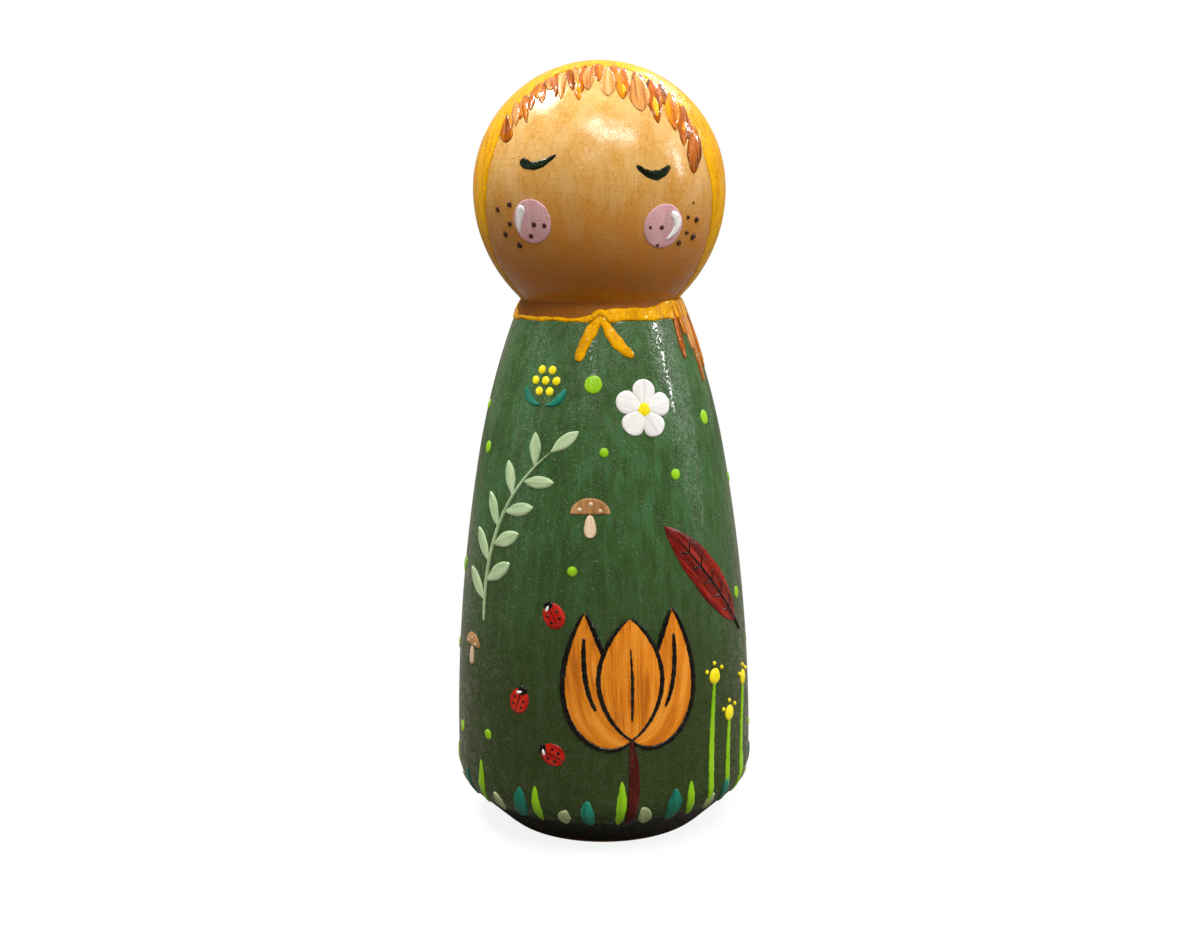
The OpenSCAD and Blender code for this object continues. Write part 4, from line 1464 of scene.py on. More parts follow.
@dataclass
class HoodTie:
    """The knot of the hood and its two ends, painted under the chin."""

    shop: Workshop
    knot_w: float = 2.2
    knot_t: float = 0.45
    knot_share: float = 0.42
    tie_w: float = 1.3
    left_l: float = 5.2
    right_l: float = 5.0
    knot_shares: tuple[Point, ...] = ((-0.55, -0.25), (0.06, 0.62), (0.5, -0.3))
    left_shares: tuple[Point, ...] = ((0.02, 0.1), (-0.29, -0.27), (-0.5, -0.83))
    right_shares: tuple[Point, ...] = ((0.06, 0.08), (0.22, -0.44), (0.72, -0.78))

    def build(self) -> None:
        """Paints the ends and lays the knot over them."""
        shop = self.shop
        sheet = shop.sheet(0, 1)
        for seed, node, length, shares in (
            (7, "left_tie_end", self.left_l, self.left_shares), (8, "right_tie_end", self.right_l, self.right_shares)
        ):
            skin, body = shop.skin(seed), shop.dab(0.06, edge=0.4, wobble=0.13, ridge=0.14)
            skin.stroke(sheet, scaled(shares, length), self.tie_w, blunt=0.22, body=body)
            shop.put(skin, node, shop.palette.hood)
        skin = shop.skin(6)
        path = moved(scaled(self.knot_shares, self.knot_w), (0, shop.band_w / 4))
        body = Body(self.knot_t, edge=0.5, crown=0.3, ridge=0.1)
        skin.stroke(sheet, path, self.knot_w * self.knot_share, blunt=0.25, body=body)
        shop.put(skin, "neck_knot", shop.palette.hood)


@dataclass(frozen=True)
class HalfFace:
    """One side of the face.

    A place is an azimuth and an elevation on the head. The eyelid is drawn in shares of its length, the
    highlight and the freckles in shares of the cheek's radius, and a freckle's third number is its share of
    the usual diameter. Fat is where along it a stroke is widest, and blunt is small for round ends.
    """

    name: str
    lid_seed: int
    cheek_seed: int
    lid_at: Point
    lid: tuple[Point, ...]
    lid_fat: float
    lid_blunt: float
    cheek_at: Point
    highlight: tuple[Point, ...]
    highlight_fat: float
    freckles: tuple[Point3, ...]


@dataclass
class Face:
    """Closed eyelids, and cheeks with their highlights and freckles."""

    shop: Workshop
    lid_l: float = 4.3
    lid_w: float = 1.0
    cheek_d: float = 4.9
    cheek_share: float = 0.6
    highlight_w: float = 1.15
    highlight_spot: float = 0.7
    freckle_d: float = 0.72
    left: HalfFace = HalfFace(
        "left", 11, 13, (-27.8, 11), ((-0.49, 0.1), (-0.08, -0.27), (0.5, 0.22)), 0.2, 0.36,
        (-31.5, -13.5), ((-0.36, 0.66), (-0.68, 0.3), (-0.74, -0.5)), 0.25,
        ((-1.99, 0.48, 0.85), (-1.16, 0.75, 0.95), (-1.27, -0.13, 0.85), (-1.68, -0.64, 0.95),
         (-0.9, -1.11, 1), (0.14, -0.13, 0.95), (0.66, -0.18, 0.85), (-0.11, -0.65, 0.9)))
    right: HalfFace = HalfFace(
        "right", 12, 16, (24.2, 7.5), ((-0.47, 0.13), (0.02, -0.36), (0.44, 0.12)), 0.6, 0.28,
        (29.7, -16), ((0.3, 0.62), (1.15, 0.12), (0.2, -0.6)), 0.32,
        ((-0.69, -0.04, 0.62), (-0.13, -0.04, 0.85), (-0.2, -0.86, 0.62), (1.58, 0.98, 0.4),
         (1.32, 0.36, 0.62), (1.89, 0.2, 0.9), (1.37, -0.34, 0.7), (0.98, -0.8, 0.9), (1.83, -0.59, 1.05)))

    def build(self) -> None:
        """Paints both eyelids, then both cheeks."""
        for half in (self.left, self.right):
            self.eyelid(half)
        for half in (self.left, self.right):
            self.cheek(half)

    def eyelid(self, half: HalfFace) -> None:
        """Paints one closed eyelid, a single curved stroke.

        Args:
            half: The side of the face.
        """
        skin = self.shop.skin(half.lid_seed)
        skin.stroke(
            self.shop.head_sheet(*half.lid_at), scaled(half.lid, self.lid_l), self.lid_w, half.lid_fat,
            half.lid_blunt, body=self.shop.bare_dab(edge=0.2, ridge=0.1, wobble=0.14))
        self.shop.put(skin, half.name + "_eyelid", self.shop.palette.lid)

    def cheek(self, half: HalfFace) -> None:
        """Paints one cheek: a round dab, a curved highlight and freckles.

        Args:
            half: The side of the face.
        """
        shop, radius = self.shop, self.cheek_d / 2
        cheek, shine, freckles = (shop.skin(half.cheek_seed + k) for k in range(3))
        sheet = shop.head_sheet(*half.cheek_at)
        thin = -shop.dab_t * (1 - self.cheek_share)
        body = shop.bare_dab(thin, edge=0.22, crown=0.1, ridge=0.05, wobble=0.015)
        cheek.spot(sheet, (0, 0), self.cheek_d, body=body)
        body = shop.bare_dab(shop.line_t, edge=0.3, crown=0.2, wobble=0.06)
        path = scaled(half.highlight, radius)
        shine.stroke(sheet, path, self.highlight_w, half.highlight_fat, body=body)
        top = bend(path, np.array([half.highlight_fat * self.highlight_spot]))[0]
        shine.spot(sheet, tuple(top), self.highlight_w, body=body)
        body = shop.bare_dab(shop.line_t, edge=0.25, crown=0.2, wobble=0.12)
        for across, up, share in half.freckles:
            freckles.spot(sheet, (across * radius, up * radius), share * self.freckle_d, body=body)
        shop.put(cheek, half.name + "_cheek", shop.palette.cheek)
        shop.put(shine, half.name + "_cheek_highlight", shop.palette.shine)
        shop.put(freckles, half.name + "_freckles", shop.palette.freckle)


@dataclass
class Hair:
    """The fringe under the hood's edge and the lock that falls over one shoulder.

    A row of the fringe gives the clock angle of a stroke's root on the hood's edge, how far the root lies
    outside it, length and width as shares, lean and fattest share. A row of the lock gives the azimuth of
    a strand's root, its length and width as shares, and its lean.
    """

    shop: Workshop
    coats: Coats
    fringe_l: float = 3.0
    fringe_w: float = 1.35
    lock_l: float = 9.6
    lock_w: float = 1.25
    brown: Rows = (
        (-52, 0.6, 1, 1.2, 0, 0.74), (-40, 0.3, 0.9, 0.6, 8, 0.5), (-33.5, 0.13, 0.7, 0.6, -6, 0.5),
        (-29, 0.07, 0.5, 0.85, -14, 0.4), (-25, 0.1, 0.4, 0.9, 2, 0.5), (-21, 0.1, 0.75, 0.6, 2, 0.35),
        (-14, 0, 0.65, 0.7, 10, 0.4), (-8, -0.1, 0.7, 0.6, 2, 0.7), (-2, 0.05, 0.75, 0.5, -15, 0.5),
        (0.5, 0.1, 0.7, 0.9, 0, 0.35), (9.2, 0.05, 0.55, 0.55, 0, 0.4), (12.6, 0.05, 1.15, 1.1, 0, 0.55),
        (27.5, 0.1, 1.55, 1.15, 8, 0.45), (32, 0.2, 0.9, 0.95, 18, 0.5), (47.5, 0.3, 1.4, 1, 0, 0.42),
        (57.5, 0.3, 1.6, 1.25, -3, 0.55))
    tan: Rows = (
        (-45.5, 0.4, 0.75, 0.75, 3, 0.5), (-18, 0, 0.8, 0.85, 0, 0.35), (-5, 0, 0.75, 1, 2, 0.6),
        (5.2, 0, 1.1, 1.35, 0, 0.6), (19.5, 0.05, 1.4, 1.75, 7, 0.6))
    orange: Rows = (
        (-10.8, 0.03, 1, 0.55, 6, 0.75), (38.5, 0.2, 1.35, 1.15, 7, 0.45), (12.6, -0.65, 0.35, 0.6, 0, 0.5),
        (28.7, -0.5, 0.75, 0.6, 9, 0.55), (47.3, -0.35, 0.4, 0.45, 0, 0.5))
    left_growth: float = 1.3
    right_growth: float = 1.1
    brown_fillers: int = 26
    tan_fillers: int = 12
    filler_span: Point = (-50, 58)
    filler_jitter: float = 2.0
    filler_lean: float = 12.0
    filler_root: float = 0.12
    filler_least: Point = (0.45, 0.55)
    filler_most: Point = (0.95, 0.95)
    brown_strands: Rows = (
        (57.5, 0.69, 0.95, -5), (63.5, 0.42, 0.8, -3), (84.5, 0.85, 1, -6), (98, 0.62, 0.9, -8))
    tan_strands: Rows = ((69, 0.6, 0.8, -4), (75, 1, 1, -6), (91.5, 0.78, 0.9, -7))

    def build(self) -> None:
        """Paints the fringe colour by colour, then the lock."""
        palette, rise = self.shop.palette, self.shop.line_t
        self.fringe(21, "fringe_brown", self.brown, self.brown_fillers, 0.0, palette.brown)
        self.fringe(22, "fringe_tan", self.tan, self.tan_fillers, rise / 4, palette.tan)
        self.fringe(23, "fringe_orange", self.orange, 0, rise, palette.orange)
        self.lock(24, "hair_lock_brown", self.brown_strands, 0.0, palette.brown)
        self.lock(25, "hair_lock_tan", self.tan_strands, rise / 2, palette.tan)

    def fringe(
        self, seed: int, node: str, rows: Rows, fillers: int, rise: float, kind: Paint
    ) -> None:
        """Strokes of one colour along the hood's upper edge.

        Args:
            seed: Seed of the painter's hand.
            node: The CAD node that the strokes stand for.
            rows: The drawn strokes.
            fillers: How many short strokes are laid first, evenly but for a little chance.
            rise: How much thicker the paint is than the usual.
            kind: Its finish.
        """
        sheet = self.coats.front_sheet()
        skin = self.shop.skin(seed)
        chance = skin.hand.rng
        filler = self.shop.bare_dab(-0.07, edge=0.2, crown=0.15)
        for clock in np.linspace(*self.filler_span, fillers):
            clock += chance.uniform(-self.filler_jitter, self.filler_jitter)
            root = self.coats.face_edge(np.array([clock]))[0] + (0, self.filler_root * self.fringe_l)
            long, wide = chance.uniform(self.filler_least, self.filler_most) * (self.fringe_l, self.fringe_w)
            lean = chance.uniform(-self.filler_lean, self.filler_lean)
            path = moved(straight(lean - 90, long), root)
            skin.stroke(sheet, path, wide, blunt=0.7, body=filler)
        body = self.shop.bare_dab(rise - 0.04, edge=0.24, crown=0.2, ridge=0.16, wobble=0.09)
        for clock, outside, length, width, lean, fat in rows:
            root = self.coats.face_edge(np.array([clock]))[0] + (0, outside * self.fringe_l)
            growth = self.left_growth if clock < 0 else self.right_growth
            path = moved(straight(lean - 90, length * self.fringe_l * growth), root)
            skin.stroke(sheet, path, width * self.fringe_w, fat, 0.68, body=body)
        self.shop.put(skin, node, kind)

    def lock(self, seed: int, node: str, rows: Rows, rise: float, kind: Paint) -> None:
        """Strands of one colour over the shoulder.

        Args:
            seed: Seed of the painter's hand.
            node: The CAD node that the strands stand for.
            rows: The strands.
            rise: How much thicker the paint is than the usual.
            kind: Its finish.
        """
        skin = self.shop.skin(seed)
        body = self.shop.dab(self.shop.line_t / 2 + rise, edge=0.36, ridge=0.14)
        for azimuth, length, width, lean in rows:
            sheet = FacingSheet(self.shop.turning, azimuth, self.shop.turning.waist_z)
            skin.stroke(sheet, straight(lean - 90, length * self.lock_l), width * self.lock_w, 0.55, 0.4, body=body)
        self.shop.put(skin, node, kind)


@dataclass
class Tulip:
    """A tulip of three petals with drawn edges and veins, on a bowed stem."""

    shop: Workshop
    place: Point = (10, 0.18)
    width: float = 14.4
    height: float = 15.0
    ink_w: float = 0.62
    stem_w: float = 1.3
    side_petal: tuple[Point, ...] = ((0.02, 0), (0.4, 0.06), (0.34, 0.98))
    front_petal: tuple[Point, ...] = ((0, 0.02), (0, 0.45), (0, 0.93))
    vein: tuple[Point, ...] = ((0, 0.14), (0.02, 0.4), (0, 0.72))
    side_vein: tuple[Point, ...] = ((0.27, 0.24), (0.38, 0.42), (0.35, 0.8))
    side_width_share: float = 0.42
    side_blunt: float = 0.75
    front_width_share: float = 0.5
    front_blunt: float = 0.7
    vein_points: int = 30
    edge_points: int = 60
    line_grain: float = 0.12
    least_line: int = 5

    def build(self) -> None:
        """Paints stem, petals and lines, with the front petal over the others."""
        shop = self.shop
        stem, petals, lines = shop.skin(31), shop.skin(32), shop.skin(33)
        front, front_w = scaled(self.front_petal, self.width, self.height), self.width * self.front_width_share
        hidden = self.petal_outline(front, front_w, self.front_blunt)
        foot = shop.level(0) - shop.level(self.place[1])
        along = np.linspace(0, 1, self.vein_points)
        for sheet in shop.sheets(*self.place):
            path = [np.array([-self.stem_w / 4, foot]), np.array([self.stem_w / 2, foot / 2]), np.zeros(2)]
            stem.stroke(sheet, path, self.stem_w, 0.4, 0.3, body=shop.dab())
            for side in Side:
                path = scaled(self.side_petal, side.value * self.width, self.height)
                wide = self.width * self.side_width_share
                body = shop.dab(-0.06, ridge=0.16, edge=0.4)
                petals.stroke(sheet, path, wide, blunt=self.side_blunt, body=body)
                self.outline(lines, sheet, path, wide, self.side_blunt, hidden)
                vein = bend(scaled(self.side_vein, side.value * self.width, self.height), along)
                self.draw(lines, sheet, vein, hidden)
            body = shop.dab(0.04, ridge=0.16, edge=0.3)
            petals.stroke(sheet, front, front_w, blunt=self.front_blunt, body=body)
            self.outline(lines, sheet, front, front_w, self.front_blunt, None)
            self.draw(lines, sheet, bend(scaled(self.vein, self.width, self.height), along), None)
        shop.put(stem, "tulip_stem", shop.palette.stem)
        shop.put(petals, "tulip_petals", shop.palette.tulip)
        shop.put(lines, "tulip_lines", shop.palette.ink)

    def petal_edge(self, path: Sequence[Array], width: float, blunt: float, side: Side) -> Array:
        """One edge of a petal, from its foot to its tip."""
        s = (1 - np.cos(np.linspace(0, np.pi, self.edge_points))) / 2
        return bend(path, s) + side.value * half_widths(s, width, 0.5, blunt)[:, None] * bend_side(path, s)

    def petal_outline(self, path: Sequence[Array], width: float, blunt: float) -> Array:
        """The whole outline of a petal."""
        right = self.petal_edge(path, width, blunt, Side.RIGHT)
        return np.vstack([right, self.petal_edge(path, width, blunt, Side.LEFT)[::-1][1:-1]])

    def outline(
        self, skin: Skin, sheet: Chart, path: Sequence[Array], width: float, blunt: float,
        hidden: Optional[Array],
    ) -> None:
        """Draws both edges of a petal, but for what lies under the front one."""
        for side in Side:
            self.draw(skin, sheet, self.petal_edge(path, width, blunt, side), hidden)

    def draw(self, skin: Skin, sheet: Chart, course: Array, hidden: Optional[Array]) -> None:
        """Draws the stretches of a course that nothing hides.

        Args:
            skin: The skin of the drawn lines.
            sheet: The sheet that it is drawn on.
            course: Points along the course.
            hidden: Outline of what lies over it, if anything does.
        """
        course = dense(course, self.line_grain)
        shown = np.ones(len(course), bool) if hidden is None else ~inside(course, hidden)
        starts = np.flatnonzero(np.diff(np.append(False, shown).astype(int)) == 1)
        ends = np.flatnonzero(np.diff(np.append(shown, False).astype(int)) == -1)
        for start, end in zip(starts, ends):
            if end - start > self.least_line:
                skin.line(sheet, course[start:end + 1], self.ink_w, self.shop.line())


@dataclass
class Feather:
    """A dark red feather with a drawn shaft and barbs."""

    shop: Workshop
    place: Point = (46, 0.49)
    lean: float = 40.0
    length: float = 16.5
    width: float = 4.4
    ink_w: float = 0.5
    shaft_share: float = 1.05
    shaft_foot: float = -0.62
    barbs: int = 5
    barb_lean: float = 48.0
    barb_share: float = 0.4
    barb_taper: float = 0.02
    barb_from: float = -0.36
    barb_step: float = 0.15
    barb_thin: float = 0.7

    def build(self) -> None:
        """Paints the vane and draws the shaft over it."""
        shop = self.shop
        vane, ink = shop.skin(34), shop.skin(35)
        for sheet in shop.sheets(*self.place, self.lean):
            path = moved(straight(90, self.length), (0, -self.length / 2))
            vane.stroke(sheet, path, self.width, 0.46, 0.7, body=shop.dab(ridge=0.14, edge=0.4))
            path = moved(straight(90, self.length * self.shaft_share), (0, self.length * self.shaft_foot))
            ink.stroke(sheet, path, self.ink_w, 0.4, 0.4, body=shop.line())
            for i in range(self.barbs):
                for side in Side:
                    long = self.width * (self.barb_share - i * self.barb_taper)
                    root = (0, self.length * (i * self.barb_step + self.barb_from))
                    path = moved(straight(90 - side.value * self.barb_lean, long), root)
                    ink.stroke(sheet, path, self.ink_w * self.barb_thin, fat=0.4, body=shop.line())
        shop.put(vane, "feather_vane", shop.palette.feather)
        shop.put(ink, "feather_shaft", shop.palette.ink)


@dataclass
class Sprig:
    """A bowed stem with leaves in turn on either side and one at its tip."""

    shop: Workshop
    place: Point = (-40, 0.57)
    length: float = 20.0
    leaf_l: float = 5.0
    stem_w: float = 0.5
    leaves: int = 9
    first_leaf: float = 0.1
    leaf_spread: float = 50.0
    leaf_taper: float = 0.25
    leaf_w_share: float = 0.38
    bow: tuple[Point, ...] = ((-0.2, -0.5), (-0.24, 0.1), (0.2, 0.5))

    def build(self) -> None:
        """Paints the leaves and draws the stem over them."""
        shop = self.shop
        leaf, stem = shop.skin(36), shop.skin(37)
        path = scaled(self.bow, self.length)
        for sheet in shop.sheets(*self.place):
            for i in range(self.leaves + 1):
                s = np.array([self.first_leaf + i * (1 - self.first_leaf) / self.leaves])
                along = heading(bend_side(path, s)[0]) + 90
                turn = 0 if i == self.leaves else self.leaf_spread * (1 if i % 2 == 0 else -1)
                size = self.leaf_l * (1 - self.leaf_taper * s[0])
                line = moved(straight(along + turn, size), bend(path, s)[0])
                leaf.stroke(sheet, line, size * self.leaf_w_share, 0.56, 0.75, body=shop.dab(ridge=0.14))
            stem.stroke(sheet, path, self.stem_w, 0.4, 0.3, body=shop.line())
        shop.put(leaf, "sprig_leaves", shop.palette.sprig)
        shop.put(stem, "sprig_stem", shop.palette.sprig)


@dataclass
class Flowers:
    """The white blossom with a yellow middle, and the flower made of dots over two leaves."""

    shop: Workshop
    blossom_at: Point = (21, 0.83)
    blossom_d: float = 6.6
    petals: int = 5
    petal_turn: float = 12.0
    petal_share: float = 0.4
    middle_share: float = 0.27
    dot_flower_at: Point = (-30, 0.885)
    ring_d: float = 2.7
    ring_dots: int = 6
    dot_d: float = 1.0
    comma: tuple[Point, ...] = ((0.1, -0.8), (0.75, -0.8), (0.95, -0.1))

    def build(self) -> None:
        """Paints both flowers."""
        self.blossom()
        self.dot_flower()

    def blossom(self) -> None:
        """Five round petals about a yellow middle."""
        shop = self.shop
        petals, middle = shop.skin(41), shop.skin(42)
        for sheet in shop.sheets(*self.blossom_at):
            for i in range(1, self.petals + 1):
                path = straight(i * 360 / self.petals + self.petal_turn, self.blossom_d / 2)
                wide = self.blossom_d * self.petal_share
                petals.stroke(sheet, path, wide, fat=0.66, body=shop.dab(ridge=0.14, edge=0.4))
            middle.spot(sheet, (0, 0), self.blossom_d * self.middle_share, body=shop.dab(shop.line_t, edge=0.5))
        shop.put(petals, "blossom_petals", shop.palette.blossom)
        shop.put(middle, "blossom_centre", shop.palette.yellow)

    def dot_flower(self) -> None:
        """A wreath of dots round one dot, over two comma-shaped leaves."""
        shop = self.shop
        dots, leaves = shop.skin(43), shop.skin(44)
        for sheet in shop.sheets(*self.dot_flower_at):
            ring = [tuple(unit(i * 360 / self.ring_dots) * self.ring_d / 2) for i in range(1, self.ring_dots + 1)]
            for at in [(0.0, 0.0)] + ring:
                dots.spot(sheet, at, self.dot_d, body=shop.dab(edge=0.4))
            for side in Side:
                path = moved(scaled(self.comma, side.value * self.ring_d, self.ring_d), (0, -self.dot_d / 2))
                leaves.stroke(sheet, path, self.dot_d, 0.6, 0.6, body=shop.dab(ridge=0.14))
        shop.put(dots, "dot_flower", shop.palette.yellow)
        shop.put(leaves, "dot_flower_leaves", shop.palette.teal)


@dataclass
class Toadstools:
    """Toadstools: a cap with pale spots on a pale stalk. A row gives azimuth, height share and size."""

    shop: Workshop
    width: float = 4.6
    cap_share: float = 0.42
    cap_points: int = 40
    cap_grain: float = 0.14
    spot_share: float = 0.13
    stalk: Point = (0.3, 0.55)
    rows: tuple[Point3, ...] = ((-5, 0.63, 1), (-62, 0.33, 0.85))
    spots: tuple[Point, ...] = ((-0.25, 0.13), (0.02, 0.26), (0.24, 0.1))

    def build(self) -> None:
        """Paints the caps, then the spots and stalks."""
        shop = self.shop
        caps, pale = shop.skin(45), shop.skin(46)
        for azimuth, share, size in self.rows:
            w = size * self.width
            a = np.radians(np.linspace(0, 180, self.cap_points))
            cap = np.stack([w / 2 * np.cos(a), w * self.cap_share * np.sin(a)], axis=1)
            for sheet in shop.sheets(azimuth, share):
                caps.region(sheet, cap, self.cap_grain, shop.dab(ridge=0.12))
                for x, y in self.spots:
                    pale.spot(sheet, (x * w, y * w), w * self.spot_share, body=shop.dab(shop.line_t, edge=0.2))
                path = straight(-90, w * self.stalk[1])
                pale.stroke(sheet, path, w * self.stalk[0], 0.6, 0.3, body=shop.dab(ridge=0.14))
        shop.put(caps, "toadstool_caps", shop.palette.cap)
        shop.put(pale, "toadstool_stalks", shop.palette.stalk)


@dataclass
class Ladybirds:
    """Ladybirds. A row gives azimuth, height share and heading."""

    shop: Workshop
    length: float = 3.0
    width_share: float = 0.86
    head_share: float = 0.42
    seam_share: float = 0.09
    dot_share: float = 0.17
    shine_share: Point = (0.16, 0.28)
    shine_at: Point = (-0.2, 0.27)
    shine_lean: float = 35.0
    rows: tuple[Point3, ...] = ((-19, 0.43, 30), (-33, 0.25, -20), (-19, 0.15, 65))
    dots: tuple[Point, ...] = ((-0.2, 0.1), (0.2, 0.1), (-0.18, -0.17), (0.18, -0.17))

    def build(self) -> None:
        """Paints the wings, then the black marks and the shine."""
        shop, size = self.shop, self.length
        wings, marks, shine = shop.skin(47), shop.skin(48), shop.skin(49)
        for azimuth, share, turn in self.rows:
            for sheet in shop.sheets(azimuth, share, turn):
                body = shop.dab(0.02, edge=0.5, crown=0.3, wobble=0.03)
                wings.spot(sheet, (0, 0), size * self.width_share, size, body=body)
                head = size * self.head_share
                marks.spot(sheet, (0, head), head, body=shop.dab(0.03, edge=0.3))
                path = moved(straight(90, size), (0, -size / 2))
                marks.stroke(sheet, path, size * self.seam_share, blunt=0.3, body=shop.line())
                for x, y in self.dots:
                    marks.spot(sheet, (x * size, y * size), size * self.dot_share, body=shop.line())
                wide, long = (size * share for share in self.shine_share)
                path = moved(straight(self.shine_lean, long), (self.shine_at[0] * size, self.shine_at[1] * size))
                shine.stroke(sheet, path, wide, body=shop.dab(shop.line_t + 0.04, edge=0.2))
        shop.put(wings, "ladybird_wings", shop.palette.wing)
        shop.put(marks, "ladybird_marks", shop.palette.ink)
        shop.put(shine, "ladybird_highlights", shop.palette.shine)


@dataclass
class Tufts:
    """Stems with round tufts. A row gives azimuth, height share and bow."""

    shop: Workshop
    height: float = 17.0
    tuft_d: float = 1.9
    stem_w: float = 0.91
    bud_angles: Point3 = (30, 90, 150)
    bud_reach: float = 0.8
    bud_share: float = 0.3
    rows: tuple[Point3, ...] = ((44, 0.94, 0.05), (54, 0.64, 0.03), (66, 0.82, 0.07))

    def build(self) -> None:
        """Paints the stems, then a tuft of dots on each."""
        shop = self.shop
        stems, tufts = shop.skin(51), shop.skin(52)
        for azimuth, share, bow in self.rows:
            tip = np.array([bow * self.height, share * self.height])
            path = [np.zeros(2), np.array([-bow, share]) * self.height / 2, tip]
            for sheet in shop.sheets(azimuth, 0):
                stems.stroke(sheet, path, self.stem_w, 0.3, 0.35, body=shop.dab(wobble=0.12))
                tufts.spot(sheet, tuple(tip), self.tuft_d, body=shop.dab(shop.line_t, edge=0.6))
                for angle in self.bud_angles:
                    at = tuple(tip + unit(angle) * self.tuft_d * self.bud_reach)
                    tufts.spot(sheet, at, self.tuft_d * self.bud_share, body=shop.dab(shop.line_t, edge=0.3))
        shop.put(stems, "tuft_stems", shop.palette.lime)
        shop.put(tufts, "round_tufts", shop.palette.yellow)


@dataclass
class LimeDots:
    """Dots between the figures. A row gives azimuth, height share and diameter share."""

    shop: Workshop
    dot_d: float = 2.1
    rows: tuple[Point3, ...] = (
        (-4, 0.88, 0.95), (-12, 0.52, 0.55), (1, 0.75, 0.5), (60, 0.8, 0.8), (34, 0.7, 0.6),
        (-66, 0.74, 0.7), (-49, 0.16, 0.6), (69, 0.43, 0.7), (84, 0.66, 0.6), (-80, 0.82, 0.6),
        (92, 0.3, 0.8), (-82, 0.48, 0.9), (80, 0.13, 0.5), (-72, 0.14, 0.7))

    def build(self) -> None:
        """Sets each dot down with the end of a brush."""
        skin = self.shop.skin(53)
        for azimuth, share, size in self.rows:
            for sheet in self.shop.sheets(azimuth, share):
                skin.spot(sheet, (0, 0), size * self.dot_d, body=self.shop.dab(edge=0.5))
        self.shop.put(skin, "lime_dots", self.shop.palette.lime)


@dataclass
class Border:
    """Blades along the foot of the dress, in a turn of six. A row gives height, width, lean and bow."""

    shop: Workshop
    blade_h: float = 5.6
    blade_w: float = 1.6
    count: int = 36
    rows: Rows = (
        (1, 0.75, 4, 0.06), (0.42, 1, -10, 0.1), (0.72, 1.15, 8, 0.1),
        (0.8, 0.7, -5, -0.06), (0.36, 0.95, 9, -0.1), (0.6, 1.05, -6, -0.1))

    def build(self) -> None:
        """Paints every third blade in one colour, then the next colour."""
        palette = self.shop.palette
        colours = (
            (0, "border_lime", palette.lime), (2, "border_teal", palette.teal), (1, "border_sage", palette.sage))
        for k, node, kind in colours:
            skin = self.shop.skin(54 + k)
            for i in range(k, self.count, len(colours)):
                tall, wide, lean, bow = self.rows[i % len(self.rows)]
                length = tall * self.blade_h
                sheet = self.shop.sheet((i + 0.5) * 360 / self.count, 0, -lean)
                path = [np.zeros(2), np.array([bow * self.blade_h, length / 2]), np.array([0.0, length])]
                body = self.shop.dab(wobble=0.1, ridge=0.14)
                skin.stroke(sheet, path, wide * self.blade_w, 0.42, 0.55, body=body)
            self.shop.put(skin, node, kind)


@dataclass(frozen=True)
class Softbox:
    """A lamp with an oval face that shines on the doll's head.

    Towards is the way from the head to the lamp. Distance and the width and height of its face are metres,
    radiance is how bright its face is, where 1 is the white of the background, and lean is in degrees.
    """

    name: str
    towards: Point3
    distance: float
    size: Point
    radiance: float
    lean: float = 0.0
    head: Point3 = (0.0, 0.0, 0.06)

    def build(self) -> None:
        """Hangs the lamp."""
        data = bpy.data.lights.new(self.name, "AREA")
        data.shape = "ELLIPSE"
        data.size, data.size_y = self.size
        data.energy = self.radiance * math.pi * math.pi / 4 * self.size[0] * self.size[1]
        lamp = bpy.data.objects.new(self.name, data)
        aim = Vector(self.towards).normalized()
        lamp.location = Vector(self.head) + aim * self.distance
        lamp.rotation_euler = aim.to_track_quat("Z", "Y").to_euler()
        lamp.rotation_euler.rotate_axis("Z", math.radians(self.lean))
        bpy.context.scene.collection.objects.link(lamp)


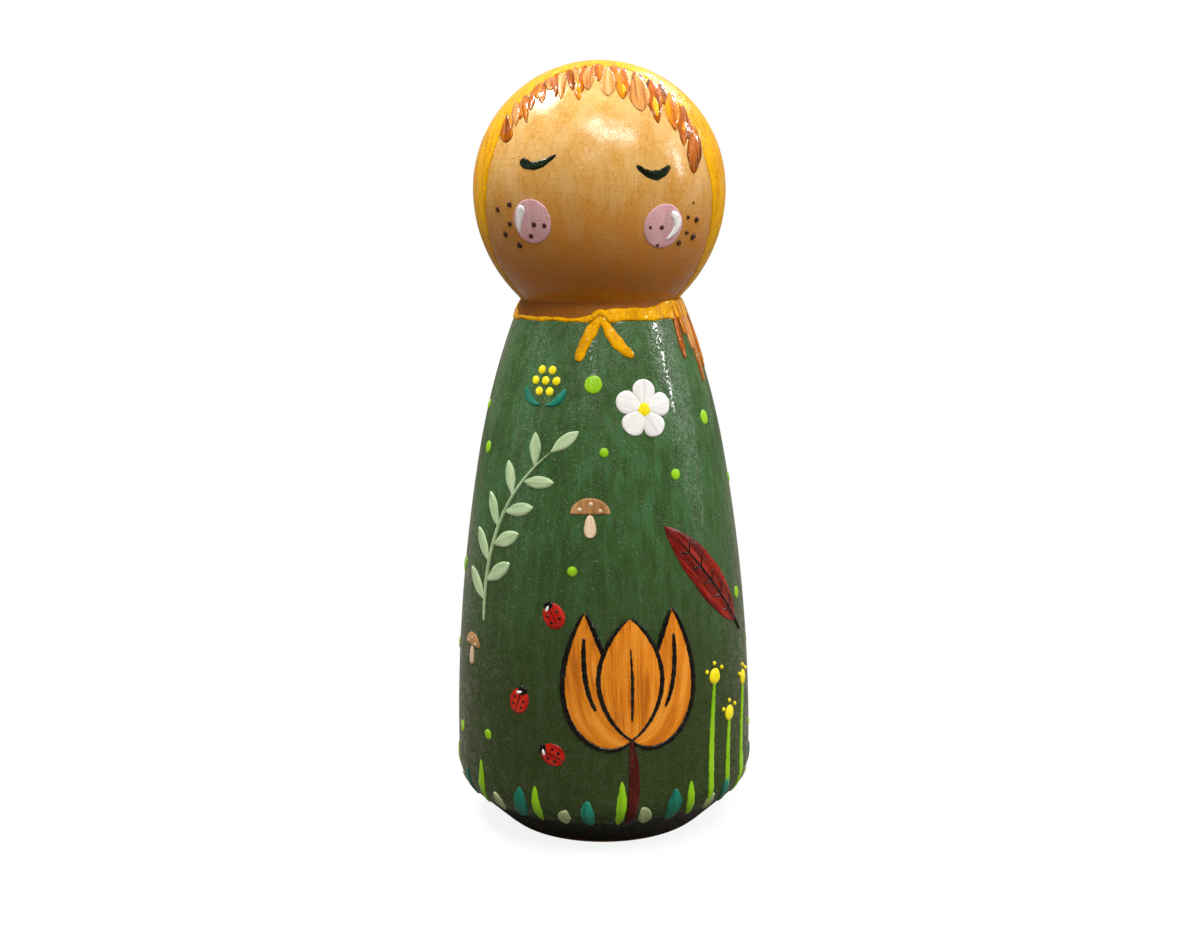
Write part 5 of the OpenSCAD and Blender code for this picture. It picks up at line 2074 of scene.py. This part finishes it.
@dataclass
class Studio:
    """Floor, sky, lamps and camera."""

    photo_size: tuple[int, int] = (1200, 927)
    focal_px: float = 1473.1
    pitch: float = 9.83
    roll: float = 0.5
    camera_at: Point3 = (-0.2, -175.0, 73.3)
    sensor_w: float = 36.0
    near_and_far: Point = (0.01, 20.0)
    floor_size: float = 4.0
    floor_cloud: float = 0.004
    floor_tints: tuple[Colour, Colour] = ((0.12, 0.11, 0.1, 1.0), (0.14, 0.13, 0.12, 1.0))
    floor_shown: Colour = (0.9, 0.9, 0.9, 1.0)
    glow_from: float = 14.0
    glow_to: float = 42.0
    glow_share: float = 0.86
    sky_colour: str = "fff3e0"
    sky_from: float = 0.1
    sky_to: float = 0.85
    sky_light: Point = (0.14, 1.08)
    horizon: Point = (-0.1, 0.05)
    under_share: float = 0.25
    backdrop: Point = (0.5, 0.9)
    backdrop_light: float = 0.25
    softboxes: tuple[Softbox, ...] = (
        Softbox("overhead", (-0.461, 0.222, 0.859), 0.42, (0.19, 0.14), 16.0),
        Softbox("front", (0.15, -0.566, 0.806), 0.5, (0.4, 0.17), 11.2, -18.0),
        Softbox("back", (0.406, 0.687, 0.602), 0.5, (0.24, 0.05), 30.0),
        Softbox("window", (0.90, -0.19, 0.39), 0.6, (0.035, 0.22), 42.0),
        Softbox("left_spark", (-0.465, 0.29, 0.83), 0.4, (0.085, 0.065), 42.0),
        Softbox("right_spark", (0.77, 0.377, 0.517), 0.4, (0.02, 0.11), 70.0, 25.0),
        Softbox("low_front", (-0.16, -0.84, 0.52), 0.6, (0.1, 0.2), 5.0),
        Softbox("left_wall", (-0.93, -0.2, 0.3), 0.55, (0.35, 0.55), 0.4),
        Softbox("right_wall", (0.94, 0.0, 0.3), 0.55, (0.35, 0.45), 1.1),
    )

    def build(self) -> None:
        """Sets the whole studio up."""
        bpy.context.scene.view_settings.view_transform = "Standard"
        self.camera()
        self.sky()
        self.floor()
        for softbox in self.softboxes:
            softbox.build()

    def camera(self) -> None:
        """Places the camera where the photograph was taken from."""
        data = bpy.data.cameras.new("camera")
        data.sensor_width = self.sensor_w
        data.lens = self.focal_px / self.photo_size[0] * data.sensor_width
        data.clip_start, data.clip_end = self.near_and_far
        camera = bpy.data.objects.new("camera", data)
        camera.location = Vector(self.camera_at) * MM
        camera.rotation_mode = "XYZ"
        camera.rotation_euler = (math.radians(90 - self.pitch), 0.0, 0.0)
        camera.rotation_euler.rotate_axis("Z", math.radians(-self.roll))
        bpy.context.scene.collection.objects.link(camera)
        bpy.context.scene.camera = camera

    def sky(self) -> None:
        """A soft sky, bright above, with a pale backdrop behind the doll, and white to the camera."""
        world = bpy.data.worlds.new("sky")
        world.use_nodes = True
        bpy.context.scene.world = world
        wires = Wiring(world.node_tree)
        towards = wires.axes(wires.node("ShaderNodeTexCoord", {}).outputs["Generated"])
        up = wires.spread(towards["Z"], self.sky_from, self.sky_to, *self.sky_light)
        dim = wires.spread(towards["Z"], *self.horizon, self.under_share)
        behind = wires.spread(towards["Y"], *self.backdrop, 0.0, self.backdrop_light)
        light = wires.tree.nodes["Background"]
        wires.fill(light, {"Color": srgb(self.sky_colour), "Strength": wires.math("MULTIPLY_ADD", up, dim, behind)})
        white = wires.node("ShaderNodeBackground", {"Color": WHITE})
        wires.mix_shaders(wires.camera_ray(), light.outputs[0], white.outputs[0], "World Output")

    def floor(self) -> None:
        """A pale floor that shows the doll's soft shadow to the camera and sends little light up."""
        mesh = bpy.data.meshes.new("floor")
        half = self.floor_size / 2
        corners = [(-half, -half, 0), (half, -half, 0), (half, half, 0), (-half, half, 0)]
        mesh.from_pydata(corners, [], [(0, 1, 2, 3)])
        floor = bpy.data.objects.new("floor", mesh)
        bpy.context.scene.collection.objects.link(floor)
        material, wires, shader = shader_start("floor")
        place, ray = wires.doll_vector(), wires.camera_ray()
        tint = wires.mix(wires.noise(place, self.floor_cloud), *self.floor_tints)
        wires.fill(shader, {
            "Base Color": wires.mix(ray, tint, self.floor_shown), "Roughness": 0.9, "Specular IOR Level": 0.0})
        reach = wires.node("ShaderNodeVectorMath", {0: place}, operation="LENGTH").outputs["Value"]
        share = wires.spread(reach, self.glow_from, self.glow_to, self.glow_share)
        glow = wires.node("ShaderNodeEmission", {"Color": WHITE})
        wires.mix_shaders(wires.times(ray, share), shader.outputs[0], glow.outputs[0], "Material Output")
        mesh.materials.append(material)


def main() -> None:
    """Builds the doll from the wood up, then the studio."""
    logging.basicConfig(level=logging.INFO, format="%(message)s")
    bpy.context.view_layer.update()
    shop = Workshop(Turning(), Effects())
    coats = Coats(shop)
    parts = (
        WoodenPeg(shop), coats, HoodTie(shop), Face(shop), Hair(shop, coats), Tulip(shop), Feather(shop),
        Sprig(shop), Flowers(shop), Toadstools(shop), Ladybirds(shop), Tufts(shop), LimeDots(shop), Border(shop),
    )
    for part in parts:
        log.info("building %s", type(part).__name__)
        part.build()
    Studio().build()


if __name__ == "__main__":
    main()
